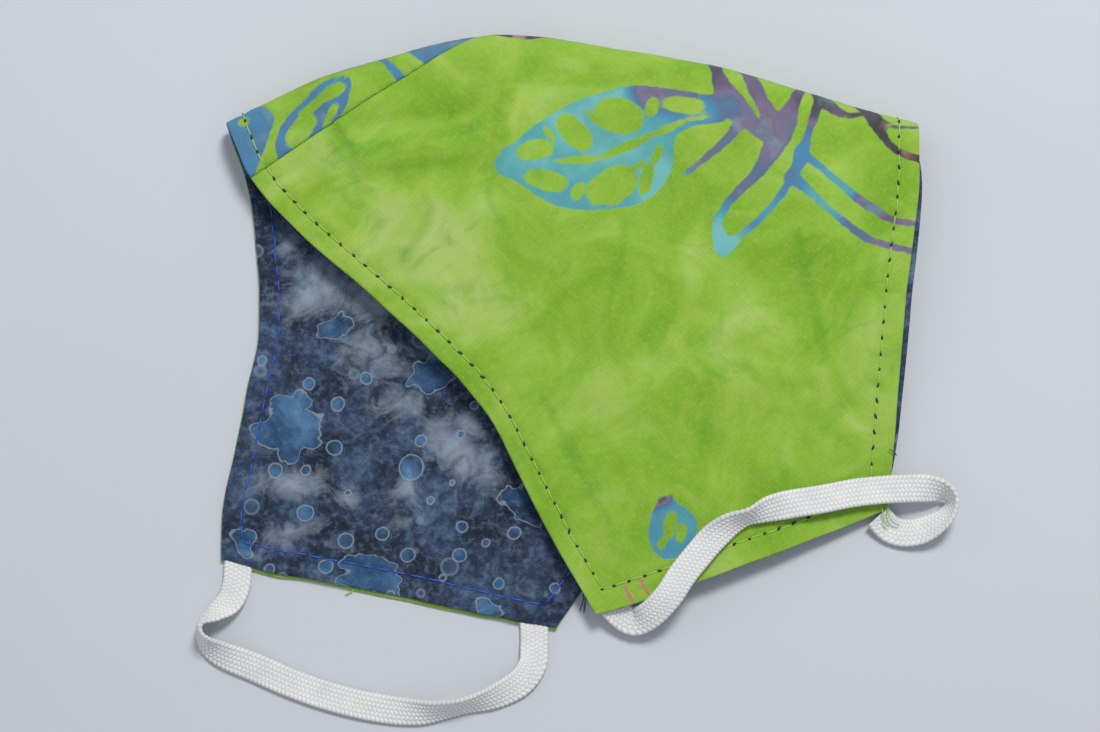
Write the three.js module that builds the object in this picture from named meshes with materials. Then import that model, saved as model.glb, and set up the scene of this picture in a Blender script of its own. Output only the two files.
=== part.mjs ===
// Cloth face mask, folded on its side: two curved halves of two plies each, and two flat ear loops.
// Millimetres, +Z up. The lower half lies on z = 0 and the upper half lies over it.

import * as THREE from "three";

// Plies
const PLY = 1.0; // one cotton ply with its turned hem
const GAP = 0.3; // clear space between neighbouring pieces
const WALL = 2 * PLY + GAP;
const BASE = WALL / 2; // height of the wall's middle where the lower half lies flat
const LINING_PEEK = 1.1; // how far the lining rolls out past the right edge
const OUTER_PEEK = 0.6; // how far the outer ply rolls out past the lower ear side

// Middle of the folded cloth in plan, taken as the origin
const MIDDLE_X = 0.825;
const MIDDLE_Y = 0.582;

// Elastic
const ELASTIC_WIDTH = 6.35;
const ELASTIC_THICK = 1.2;
const ELASTIC_CHAMFER = 0.3;
const ELASTIC_STEPS = 64;
const ELASTIC_LIFT = 0.1; // least height of its underside above the table

// Grid of each ply
const LEAD_ROWS = 2; // between the seam and the bend
const BEND_ROWS = 7; // round the bend
const FLAT_ROWS = 10; // from the bend to the ear side
const ROWS_ACROSS = LEAD_ROWS + BEND_ROWS + FLAT_ROWS;
const ROWS_ALONG = 20;
const ROW_SQUEEZE = 0.35; // least step between rows where the seam has passed the bend

// Cross sections from the left edge (at 0) to the right edge (at 1).
// foldX, foldY: outermost line of the bend. frontX, frontY: end of the upper half's ear side.
// backX, backY: end of the lower half's ear side. radius: bend of the wall's middle.
// seam: where the centre seam runs, measured from the bend (+ on the upper side, - underneath).
// ear, low, high: height of the upper half at its ear side, one third and two thirds of the way up.
const SECTIONS = [
  { at: 0.0, foldX: -80.5, foldY: 49.1, frontX: 6.2, frontY: -66.2, backX: -80.3, backY: -53.2,
    radius: 3.0, seam: 15.6, ear: 4.6, low: 5.2, high: 6.2 },
  { at: 0.13, foldX: -61.2, foldY: 58.6, frontX: 15.2, frontY: -63.6, backX: -70.2, backY: -55.9,
    radius: 3.9, seam: 13.6, ear: 4.9, low: 6.6, high: 8.2 },
  { at: 0.27, foldX: -38.2, foldY: 66.0, frontX: 24.7, frontY: -60.4, backX: -59.4, backY: -57.9,
    radius: 4.9, seam: 8.2, ear: 5.1, low: 8.4, high: 10.4 },
  { at: 0.4, foldX: -16.4, foldY: 69.4, frontX: 33.6, frontY: -57.2, backX: -49.3, backY: -59.7,
    radius: 5.3, seam: 0.5, ear: 5.2, low: 9.3, high: 11.3 },
  { at: 0.55, foldX: 8.4, foldY: 66.9, frontX: 43.8, frontY: -53.6, backX: -37.8, backY: -61.9,
    radius: 5.4, seam: -8.5, ear: 4.7, low: 9.2, high: 11.4 },
  { at: 0.7, foldX: 33.4, foldY: 62.5, frontX: 53.9, frontY: -49.8, backX: -26.2, backY: -64.5,
    radius: 5.3, seam: -16.0, ear: 3.8, low: 8.4, high: 11.0 },
  { at: 0.85, foldX: 57.6, foldY: 55.2, frontX: 64.0, frontY: -45.8, backX: -14.8, backY: -67.0,
    radius: 5.0, seam: -22.0, ear: 2.7, low: 7.0, high: 10.0 },
  { at: 1.0, foldX: 82.2, foldY: 48.4, frontX: 73.9, frontY: -41.3, backX: -3.0, backY: -68.9,
    radius: 4.6, seam: -26.5, ear: 1.8, low: 5.6, high: 9.0 },
];

// Bowed side edges: how far each edge leaves the straight line from the bend to the ear side,
// + toward the middle of the cloth.
const LEFT_EDGE_FRONT = [
  { down: 0.0, inset: 0.0 },
  { down: 0.09, inset: -3.1 },
  { down: 0.2, inset: -2.2 },
  { down: 0.33, inset: 1.6 },
  { down: 0.48, inset: 5.7 },
  { down: 0.62, inset: 7.8 },
  { down: 0.76, inset: 4.9 },
  { down: 0.89, inset: 1.7 },
  { down: 1.0, inset: 0.0 },
];
const LEFT_EDGE_BACK = [
  { down: 0.0, inset: 0.0 },
  { down: 0.15, inset: 4.8 },
  { down: 0.3, inset: 7.0 },
  { down: 0.48, inset: 7.8 },
  { down: 0.6, inset: 5.4 },
  { down: 0.75, inset: 2.8 },
  { down: 0.88, inset: 0.2 },
  { down: 1.0, inset: 0.0 },
];
const RIGHT_EDGE_FRONT = [
  { down: 0.0, inset: 0.0 },
  { down: 0.16, inset: -0.9 },
  { down: 0.45, inset: 0.0 },
  { down: 0.8, inset: 0.1 },
  { down: 1.0, inset: 0.0 },
];

// Soft folds and dents of the upper half: a line from one plan point to another, the breadth of the
// rise or dip across it, and its height (- for a dent).
const DENTS = [
  { name: "pucker at the seam", x1: -58, y1: 51, x2: -50, y2: 39, breadth: 3.5, height: 0.7 },
  { name: "dip beside the seam", x1: -62, y1: 38, x2: -28, y2: 52, breadth: 8, height: -0.6 },
  { name: "wave from the bend", x1: -2, y1: 64, x2: 8, y2: 34, breadth: 7, height: -0.8 },
  { name: "ridge under the bend", x1: 18, y1: 60, x2: 34, y2: 28, breadth: 8, height: 0.5 },
  { name: "hollow above the ear side", x1: 20, y1: -36, x2: 56, y2: -22, breadth: 10, height: -0.7 },
  { name: "lift of the long edge", x1: -46, y1: 6, x2: -18, y2: -20, breadth: 9, height: 0.7 },
];

// Centre lines of the ear loops. roll: 0 lies flat, 90 stands on its edge.
const FRONT_LOOP = [
  { x: 12.2, y: -66.6, z: 1.6, roll: 0 },
  { x: 15.0, y: -67.6, z: 2.6, roll: 8 },
  { x: 18.6, y: -66.2, z: 5.6, roll: 10 },
  { x: 22.6, y: -62.2, z: 7.6, roll: 4 },
  { x: 25.8, y: -57.4, z: 7.9, roll: 0 },
  { x: 29.1, y: -53.3, z: 8.2, roll: 0 },
  { x: 32.9, y: -49.0, z: 8.5, roll: 10 },
  { x: 36.9, y: -45.9, z: 9.6, roll: 40 },
  { x: 41.0, y: -44.2, z: 10.2, roll: 62 },
  { x: 45.2, y: -42.5, z: 9.2, roll: 35 },
  { x: 51.0, y: -41.1, z: 8.0, roll: 8 },
  { x: 58.0, y: -39.9, z: 7.2, roll: 0 },
  { x: 66.3, y: -38.2, z: 6.0, roll: 0 },
  { x: 74.5, y: -37.3, z: 5.1, roll: 0 },
  { x: 82.7, y: -37.0, z: 4.2, roll: 20 },
  { x: 87.2, y: -37.9, z: 4.0, roll: 60 },
  { x: 88.6, y: -40.4, z: 3.8, roll: 72 },
  { x: 86.6, y: -43.8, z: 3.2, roll: 50 },
  { x: 82.0, y: -46.4, z: 1.8, roll: 18 },
  { x: 77.6, y: -47.0, z: 1.0, roll: 4 },
  { x: 74.2, y: -45.9, z: 0.9, roll: 0 },
];
const BACK_LOOP = [
  { x: -76.6, y: -55.9, z: 1.1, roll: 0 },
  { x: -76.9, y: -59.2, z: 0.8, roll: 0 },
  { x: -78.3, y: -62.9, z: 1.2, roll: 14 },
  { x: -81.4, y: -65.7, z: 2.5, roll: 45 },
  { x: -84.6, y: -68.3, z: 3.4, roll: 78 },
  { x: -84.2, y: -71.6, z: 3.2, roll: 66 },
  { x: -80.4, y: -74.7, z: 2.3, roll: 34 },
  { x: -72.2, y: -78.0, z: 1.1, roll: 8 },
  { x: -62.7, y: -82.0, z: 0.8, roll: 0 },
  { x: -53.3, y: -85.1, z: 0.8, roll: 0 },
  { x: -44.1, y: -87.2, z: 0.9, roll: 4 },
  { x: -35.6, y: -88.2, z: 1.6, roll: 26 },
  { x: -29.6, y: -87.9, z: 2.8, roll: 52 },
  { x: -23.6, y: -86.7, z: 3.0, roll: 62 },
  { x: -16.8, y: -84.6, z: 2.2, roll: 36 },
  { x: -11.2, y: -81.4, z: 1.6, roll: 14 },
  { x: -8.4, y: -77.4, z: 1.2, roll: 6 },
  { x: -8.0, y: -73.2, z: 1.0, roll: 0 },
  { x: -8.0, y: -69.5, z: 1.1, roll: 0 },
];

// A smooth curve through the rows of a table: key names the column of places, column the values.
function readTable(rows, key, column, place) {
  const last = rows.length - 1;
  let i = 0;
  while (i < last - 1 && place > rows[i + 1][key]) i += 1;
  const slopeAt = (k) => {
    const before = rows[Math.max(0, k - 1)];
    const after = rows[Math.min(last, k + 1)];
    return (after[column] - before[column]) / (after[key] - before[key]);
  };
  const span = rows[i + 1][key] - rows[i][key];
  const t = (place - rows[i][key]) / span;
  const a = rows[i][column];
  const b = rows[i + 1][column];
  const m = slopeAt(i) * span;
  const n = slopeAt(i + 1) * span;
  const c = 3 * (b - a) - 2 * m - n;
  const d = 2 * (a - b) + m + n;
  return a + t * (m + t * (c + t * d));
}

const section = (column, v) => readTable(SECTIONS, "at", column, v);
const foldPoint = (v) => new THREE.Vector2(section("foldX", v), section("foldY", v));
const earPoint = (side, v) => side > 0
  ? new THREE.Vector2(section("frontX", v), section("frontY", v))
  : new THREE.Vector2(section("backX", v), section("backY", v));

// Plan position on one side of the bend: down = 0 on the bend and 1 on the ear side.
function planPoint(side, v, down) {
  const from = foldPoint(v);
  const to = earPoint(side, v);
  const along = to.clone().sub(from).normalize();
  const inward = new THREE.Vector2(-along.y, along.x);
  const t = Math.min(1, Math.max(0, down));
  const left = readTable(side > 0 ? LEFT_EDGE_FRONT : LEFT_EDGE_BACK, "down", "inset", t);
  const right = side > 0 ? readTable(RIGHT_EDGE_FRONT, "down", "inset", t) : 0;
  const bow = left * (1 - v) ** 2 - right * v ** 2;
  return from.lerp(to, down).addScaledVector(inward, bow);
}

const sideLength = (side, v) => foldPoint(v).distanceTo(earPoint(side, v));
const bendLength = (v) => (section("radius", v) * Math.PI) / 2;
const edgeAt = (side, v) => side * (sideLength(side, v) - section("radius", v) + bendLength(v));

function dentHeight(x, y) {
  let sum = 0;
  for (const dent of DENTS) {
    const line = new THREE.Vector2(dent.x2 - dent.x1, dent.y2 - dent.y1);
    const rel = new THREE.Vector2(x - dent.x1, y - dent.y1);
    const t = Math.min(1, Math.max(0, rel.dot(line) / line.lengthSq()));
    const away = rel.addScaledVector(line, -t).length() / dent.breadth;
    const fade = Math.sin(Math.PI * (0.15 + 0.7 * t));
    sum += dent.height * fade * Math.exp(-away * away);
  }
  return sum;
}

// Middle of the wall. girth is measured round the bend: + over the upper side, - underneath.
function wallPoint(v, girth) {
  const radius = section("radius", v);
  const side = girth >= 0 ? 1 : -1;
  const bend = bendLength(v);
  const size = Math.abs(girth);
  if (size <= bend) {
    const angle = girth / radius;
    const inward = radius * (1 - Math.cos(angle));
    const plan = planPoint(side, v, inward / sideLength(side, v));
    return new THREE.Vector3(plan.x, plan.y, BASE + radius * (1 + Math.sin(angle)));
  }
  const down = (radius + size - bend) / sideLength(side, v);
  const plan = planPoint(side, v, down);
  if (side < 0) return new THREE.Vector3(plan.x, plan.y, BASE);
  const heights = [
    { down: 0, z: BASE + 2 * radius },
    { down: 1 / 3, z: section("high", v) },
    { down: 2 / 3, z: section("low", v) },
    { down: 1, z: section("ear", v) },
  ];
  const start = radius / sideLength(side, v);
  const t = (down - start) / (1 - start);
  const settle = Math.min(1, t * 6) * Math.min(1, (1 - t) * 6);
  const z = readTable(heights, "down", "z", t) + settle * dentHeight(plan.x, plan.y);
  return new THREE.Vector3(plan.x, plan.y, z);
}

function wallNormal(v, girth) {
  const dv = 0.004;
  const dg = 0.5;
  const alongV = wallPoint(Math.min(1, v + dv), girth).sub(wallPoint(Math.max(0, v - dv), girth));
  const alongG = wallPoint(v, girth + dg).sub(wallPoint(v, girth - dg));
  return alongG.cross(alongV).normalize();
}

// Place of each row of the grid, so that rows run along the bend and not across it.
function rowGirth(side, v, row, end) {
  const start = section("seam", v) + (side * GAP) / 2;
  const bend = side * bendLength(v);
  const past = row - LEAD_ROWS - BEND_ROWS;
  let place = start + ((-bend - start) * row) / (LEAD_ROWS + 1);
  if (row > LEAD_ROWS) place = bend * ((2 * (row - LEAD_ROWS - 1)) / (BEND_ROWS - 1) - 1);
  if (past > 0) place = bend + ((end - bend) * past) / FLAT_ROWS;
  return side * Math.max(side * place, side * start + row * ROW_SQUEEZE);
}

// One ply of one half. offset is the distance of its two faces from the wall's middle.
function makePly(name, side, inner, outer, peek, material) {
  const points = [];
  for (const offset of [outer, inner]) {
    for (let row = 0; row <= ROWS_ACROSS; row += 1) {
      for (let col = 0; col <= ROWS_ALONG; col += 1) {
        const v = col / ROWS_ALONG;
        const girth = rowGirth(side, v, row, edgeAt(side, v) + side * peek.ear);
        const normal = wallNormal(v, girth);
        const point = wallPoint(v, girth).addScaledVector(normal, offset);
        if (col === ROWS_ALONG && side > 0) {
          const roll = Math.sin(Math.PI * Math.min(1, Math.max(0, girth / edgeAt(side, v))));
          point.x += peek.right * Math.sqrt(Math.max(0, roll));
        }
        points.push(point);
      }
    }
  }
  const stride = ROWS_ALONG + 1;
  const layer = stride * (ROWS_ACROSS + 1);
  const faces = [];
  const quad = (a, b, c, d) => {
    const order = side > 0 ? [a, c, b, a, d, c] : [a, b, c, a, c, d];
    faces.push(...order);
  };
  for (let row = 0; row < ROWS_ACROSS; row += 1) {
    for (let col = 0; col < ROWS_ALONG; col += 1) {
      const a = row * stride + col;
      quad(a, a + 1, a + stride + 1, a + stride);
      quad(a + layer, a + layer + stride, a + layer + stride + 1, a + layer + 1);
    }
  }
  for (let col = 0; col < ROWS_ALONG; col += 1) {
    const last = ROWS_ACROSS * stride + col;
    quad(col, col + layer, col + layer + 1, col + 1);
    quad(last, last + 1, last + layer + 1, last + layer);
  }
  for (let row = 0; row < ROWS_ACROSS; row += 1) {
    const a = row * stride;
    const b = a + ROWS_ALONG;
    quad(a, a + stride, a + stride + layer, a + layer);
    quad(b, b + layer, b + stride + layer, b + stride);
  }
  return meshOf(name, points, faces, material);
}

function meshOf(name, points, faces, material) {
  const geometry = new THREE.BufferGeometry();
  const flat = points.flatMap((p) => [p.x, p.y, p.z]);
  geometry.setAttribute("position", new THREE.Float32BufferAttribute(flat, 3));
  geometry.setIndex(faces);
  geometry.translate(-MIDDLE_X, -MIDDLE_Y, 0);
  geometry.computeVertexNormals();
  const mesh = new THREE.Mesh(geometry, material);
  mesh.name = name;
  return mesh;
}

// Flat elastic: an eight-sided section swept along a route, turned by its roll.
function makeLoop(name, route, material) {
  const curve = new THREE.CatmullRomCurve3(
    route.map((p) => new THREE.Vector3(p.x, p.y, p.z)), false, "centripetal");
  const halfWidth = ELASTIC_WIDTH / 2;
  const halfThick = ELASTIC_THICK / 2;
  const nearWidth = halfWidth - ELASTIC_CHAMFER;
  const nearThick = halfThick - ELASTIC_CHAMFER;
  const ring = [
    [halfWidth, nearThick], [nearWidth, halfThick], [-nearWidth, halfThick],
    [-halfWidth, nearThick], [-halfWidth, -nearThick], [-nearWidth, -halfThick],
    [nearWidth, -halfThick], [halfWidth, -nearThick],
  ];
  const up = new THREE.Vector3(0, 0, 1);
  const points = [];
  for (let i = 0; i <= ELASTIC_STEPS; i += 1) {
    const t = i / ELASTIC_STEPS;
    const at = t * (route.length - 1);
    const k = Math.min(route.length - 2, Math.floor(at));
    const roll = THREE.MathUtils.lerp(route[k].roll, route[k + 1].roll, at - k);
    const centre = curve.getPoint(t);
    const ahead = curve.getTangent(t);
    const across = ahead.clone().cross(up).normalize();
    across.applyAxisAngle(ahead, THREE.MathUtils.degToRad(roll));
    const face = across.clone().cross(ahead).normalize();
    const reach = halfWidth * Math.abs(across.z) + halfThick * Math.abs(face.z);
    centre.z = Math.max(centre.z, reach + ELASTIC_LIFT);
    for (const [w, h] of ring) {
      points.push(centre.clone().addScaledVector(across, w).addScaledVector(face, h));
    }
  }
  const sides = ring.length;
  const faces = [];
  for (let i = 0; i < ELASTIC_STEPS; i += 1) {
    for (let j = 0; j < sides; j += 1) {
      const a = i * sides + j;
      const b = i * sides + ((j + 1) % sides);
      faces.push(a, b + sides, b, a, a + sides, b + sides);
    }
  }
  const last = ELASTIC_STEPS * sides;
  for (let j = 1; j < sides - 1; j += 1) {
    faces.push(0, j, j + 1);
    faces.push(last, last + j + 1, last + j);
  }
  return meshOf(name, points, faces, material);
}

const outerCotton = new THREE.MeshStandardMaterial({ color: 0x8cbf2a, roughness: 0.9 });
const liningCotton = new THREE.MeshStandardMaterial({ color: 0x2c3e58, roughness: 0.9 });
const elastic = new THREE.MeshStandardMaterial({ color: 0xf1f1ee, roughness: 0.8 });

const outside = [GAP / 2, GAP / 2 + PLY];
const inside = [-GAP / 2 - PLY, -GAP / 2];
const plain = { ear: 0, right: 0 };

const group = new THREE.Group();
group.name = "cloth_face_mask";
group.add(makePly("outer_front_half", 1, ...outside, plain, outerCotton));
group.add(makePly("outer_back_half", -1, ...outside, { ear: OUTER_PEEK, right: 0 }, outerCotton));
group.add(makePly("lining_front_half", 1, ...inside, { ear: 0, right: LINING_PEEK }, liningCotton));
group.add(makePly("lining_back_half", -1, ...inside, plain, liningCotton));
group.add(makeLoop("ear_loop_front", FRONT_LOOP, elastic));
group.add(makeLoop("ear_loop_back", BACK_LOOP, elastic));

export default group;
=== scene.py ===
import math

import bpy
import numpy as np
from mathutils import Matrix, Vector


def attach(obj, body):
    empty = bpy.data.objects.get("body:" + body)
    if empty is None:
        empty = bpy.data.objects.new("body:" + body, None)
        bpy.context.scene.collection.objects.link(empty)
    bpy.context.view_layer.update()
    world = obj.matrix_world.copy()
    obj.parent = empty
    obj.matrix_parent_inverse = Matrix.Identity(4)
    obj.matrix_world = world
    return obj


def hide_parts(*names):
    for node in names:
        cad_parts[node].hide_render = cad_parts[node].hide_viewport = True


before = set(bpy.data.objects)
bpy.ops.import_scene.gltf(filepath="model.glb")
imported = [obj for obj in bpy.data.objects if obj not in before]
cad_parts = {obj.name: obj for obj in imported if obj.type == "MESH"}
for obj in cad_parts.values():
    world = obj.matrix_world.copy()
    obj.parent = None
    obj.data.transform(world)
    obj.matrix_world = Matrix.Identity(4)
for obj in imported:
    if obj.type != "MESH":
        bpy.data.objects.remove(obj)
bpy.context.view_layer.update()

MM = 0.001
RNG = np.random.default_rng(19)

# ---------------------------------------------------------------------------------------------
# Sizes, in millimetres
# ---------------------------------------------------------------------------------------------

PLY = 1.0
GAP = 0.3
BASE = (2 * PLY + GAP) / 2
MIDDLE_X, MIDDLE_Y = 0.825, 0.582

OUTER_FACE = GAP / 2 + PLY  # the printed outside, measured out from the wall's middle
HEM_THICK = 0.72  # one ply with its edge turned in
LINING_FACE = OUTER_FACE - 2 * HEM_THICK - 0.06
HEM_WIDTH = 7.6  # turned-in seam allowance
EDGE_ROUND = 0.42  # radius of a turned edge
SEAM_ROUND = 0.8  # radius of the cloth where it dives into the centre seam

STITCH_PITCH = 3.7
THREAD_RADIUS = 0.17  # green topstitching thread
LINING_THREAD_RADIUS = 0.21  # blue topstitching thread
KNOT_RADIUS = 0.27  # bobbin thread pulled up at a needle hole
STITCH_INSET = {"left": 4.4, "right": 4.9, "ear": 5.3}
EAR_LENGTH = 76.0  # length of the ear edges, from the left to the right

ELASTIC_WIDTH = 6.35
ELASTIC_THICK = 1.1
ELASTIC_CORDS = 6  # lengthwise cords in the braid
BRAID_PITCH = 1.0  # one crossing of the braid, drawn a little coarse so that it shows
WEAVE_PITCH = 0.36  # from one cotton thread to the next, about 70 threads an inch
OTHER_CUT = (0.31, 0.17)  # metres along the cloth to where the lower half is cut

# Cross sections of the folded cloth, from the left edge (0) to the right edge (1).
SECTIONS = [
    dict(at=0.0, fold_x=-80.5, fold_y=49.1, front_x=6.2, front_y=-66.2, back_x=-80.3, back_y=-53.2,
         radius=3.0, seam=15.6, ear=4.6, low=5.2, high=6.2),
    dict(at=0.13, fold_x=-61.2, fold_y=58.6, front_x=15.2, front_y=-63.6, back_x=-70.2, back_y=-55.9,
         radius=3.9, seam=13.6, ear=4.9, low=6.6, high=8.2),
    dict(at=0.27, fold_x=-38.2, fold_y=66.0, front_x=24.7, front_y=-60.4, back_x=-59.4, back_y=-57.9,
         radius=4.9, seam=8.2, ear=5.1, low=8.4, high=10.4),
    dict(at=0.4, fold_x=-16.4, fold_y=69.4, front_x=33.6, front_y=-57.2, back_x=-49.3, back_y=-59.7,
         radius=5.3, seam=0.5, ear=5.2, low=9.3, high=11.3),
    dict(at=0.55, fold_x=8.4, fold_y=66.9, front_x=43.8, front_y=-53.6, back_x=-37.8, back_y=-61.9,
         radius=5.4, seam=-8.5, ear=4.7, low=9.2, high=11.4),
    dict(at=0.7, fold_x=33.4, fold_y=62.5, front_x=53.9, front_y=-49.8, back_x=-26.2, back_y=-64.5,
         radius=5.3, seam=-16.0, ear=3.8, low=8.4, high=11.0),
    dict(at=0.85, fold_x=57.6, fold_y=55.2, front_x=64.0, front_y=-45.8, back_x=-14.8, back_y=-67.0,
         radius=5.0, seam=-22.0, ear=2.7, low=7.0, high=10.0),
    dict(at=1.0, fold_x=82.2, fold_y=48.4, front_x=73.9, front_y=-41.3, back_x=-3.0, back_y=-68.9,
         radius=4.6, seam=-26.5, ear=1.8, low=5.6, high=9.0),
]

# Bow of each side edge: share of the way from the bend to the ear side, and inset of the edge.
LEFT_EDGE_FRONT = [(0.0, 0.0), (0.09, -3.1), (0.2, -2.2), (0.33, 1.6), (0.48, 5.7), (0.62, 7.8),
                   (0.76, 4.9), (0.89, 1.7), (1.0, 0.0)]
LEFT_EDGE_BACK = [(0.0, 0.0), (0.15, 4.8), (0.3, 7.0), (0.48, 7.8), (0.6, 5.4), (0.75, 2.8),
                  (0.88, 0.2), (1.0, 0.0)]
RIGHT_EDGE_FRONT = [(0.0, 0.0), (0.16, -0.9), (0.45, 0.0), (0.8, 0.1), (1.0, 0.0)]

# Soft folds and dents: x1, y1 to x2, y2, breadth, height.
DENTS = [
    (-58, 51, -50, 39, 3.5, 0.7),
    (-62, 38, -28, 52, 8, -0.6),
    (-2, 64, 8, 34, 7, -0.8),
    (18, 60, 34, 28, 8, 0.5),
    (20, -36, 56, -22, 10, -0.7),
    (-46, 6, -18, -20, 9, 0.7),
]

# Fine creases pressed into the upper half, over the soft folds.
CREASES = [
    (-58.5, 50.5, -51.5, 40.5, 1.0, -0.42),
    (-56.5, 50.5, -49.5, 40.0, 1.6, 0.34),
    (-53, 46, -22, 50, 3.2, -0.42),
    (-52, 41, -16, 44, 4.0, 0.36),
    (-46, 34, -20, 36, 3.0, -0.3),
    (0, 67, 6, 56, 2.6, -0.45),
    (12, 60, 20, 44, 4.0, 0.3),
    (60, 44, 74, 14, 4.0, -0.35),
    (10, -28, 26, -54, 3.0, 0.35),
    (-24, 8, 4, -12, 4.5, -0.3),
]

# Centre lines of the ear loops: x, y, z, roll (0 lies flat, 90 stands on its edge).
FRONT_LOOP = [
    (8.8, -62.6, 4.5, 0), (11.8, -65.9, 3.0, 4), (15.0, -67.6, 2.8, 8), (18.6, -66.2, 5.6, 10),
    (22.6, -62.2, 7.6, 4), (25.8, -57.4, 7.9, 0), (29.1, -53.3, 8.2, 0), (32.9, -49.0, 8.5, 10),
    (36.9, -45.9, 9.6, 40), (41.0, -44.2, 10.2, 62), (45.2, -42.5, 9.2, 35), (51.0, -41.1, 8.0, 8),
    (58.0, -39.9, 7.2, 0), (66.3, -38.2, 6.0, 0), (74.5, -37.3, 5.1, 0), (82.7, -37.0, 4.2, 20),
    (87.2, -37.9, 4.0, 60), (88.6, -40.4, 3.8, 72), (86.6, -43.8, 3.2, 50), (82.0, -46.4, 1.8, 18),
    (77.6, -47.0, 1.0, 4), (74.2, -45.9, 1.2, 0), (71.6, -43.2, 2.3, 0),
]
BACK_LOOP = [
    (-76.4, -52.4, 0.75, 0), (-76.6, -55.9, 0.8, 0), (-76.9, -59.2, 0.8, 0), (-78.3, -62.9, 1.2, 14),
    (-81.4, -65.7, 2.5, 45), (-84.6, -68.3, 3.4, 78), (-84.2, -71.6, 3.2, 66), (-80.4, -74.7, 2.3, 34),
    (-72.2, -78.0, 1.1, 8), (-62.7, -82.0, 0.8, 0), (-53.3, -85.1, 0.8, 0), (-44.1, -87.2, 0.9, 4),
    (-35.6, -88.2, 1.6, 26), (-29.6, -87.9, 2.8, 52), (-23.6, -86.7, 3.0, 62), (-16.8, -84.6, 2.2, 36),
    (-11.2, -81.4, 1.6, 14), (-8.4, -77.4, 1.2, 6), (-8.0, -73.2, 1.0, 0), (-8.0, -69.5, 0.8, 0),
    (-8.3, -66.0, 0.75, 0),
]

# ---------------------------------------------------------------------------------------------
# Printed motifs, in flat-cloth millimetres
# ---------------------------------------------------------------------------------------------

LEAF_RIM = 1.25  # dyed line kept round every filled shape
CELL_GROWTH = 1.06  # how much wider the reserved cells are than charted

# Filled shapes, as outlines that are smoothed through their points.
FRONT_FILLS = [
    [(-17.8, 39.2), (-12.4, 43.8), (-6.2, 48.6), (0, 52.4), (8, 55.0), (16, 56.2), (24, 55.4),
     (31.5, 54.2), (36.5, 53.5), (38.5, 49.8), (34.5, 47.4), (28, 46.4), (24, 43.4), (23.4, 37.4),
     (20.6, 32.0), (15, 28.0), (8, 26.6), (1, 26.6), (-4.4, 27.8), (-9.4, 30.8), (-13.6, 33.8),
     (-17.4, 35.8)],
    [(33.6, 24.0), (32.6, 19.6), (33.6, 16.2), (35.6, 15.6), (38.4, 18.6), (39.4, 21.2), (36.4, 20.6)],
    [(-20, 70.5), (-15.5, 68.0), (-10, 67.4), (-6, 69.4), (-7, 75), (-19, 76)],
    [(20.6, -40.0), (24.6, -41.6), (28.4, -45.2), (27.8, -49.6), (24.6, -53.4), (20.2, -53.8),
     (17.6, -50.0), (18.0, -44.6)],
]
# Reserved cells left undyed inside them: x, y, half length, half width, turn in degrees.
FRONT_CELLS = [
    (-8.6, 41.0, 4.2, 2.2, 10), (-5.4, 45.0, 2.0, 0.7, -46), (0.4, 45.4, 5.0, 2.8, -46),
    (4.9, 48.6, 2.8, 0.6, -52), (10.9, 49.0, 5.6, 3.9, -18), (18.6, 50.9, 2.4, 1.4, 74),
    (26.0, 51.6, 4.8, 1.9, -4), (1.6, 38.6, 5.4, 0.95, 4), (12.6, 41.6, 6.8, 1.0, 22),
    (23.0, 46.0, 5.0, 0.9, 24), (-6.0, 33.6, 4.8, 2.3, -14), (1.2, 31.0, 2.2, 1.3, 62),
    (9.2, 32.2, 6.0, 4.0, 34), (17.2, 33.4, 4.4, 1.4, 78), (19.8, 39.6, 2.6, 0.9, 66),
    (15.4, 37.2, 1.6, 0.7, 30), (29.6, 48.6, 2.4, 0.6, 10),
    (22.4, -46.2, 3.0, 1.4, 80), (25.0, -48.0, 2.2, 1.1, 76), (20.6, -50.4, 1.6, 1.0, 60),
]
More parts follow.
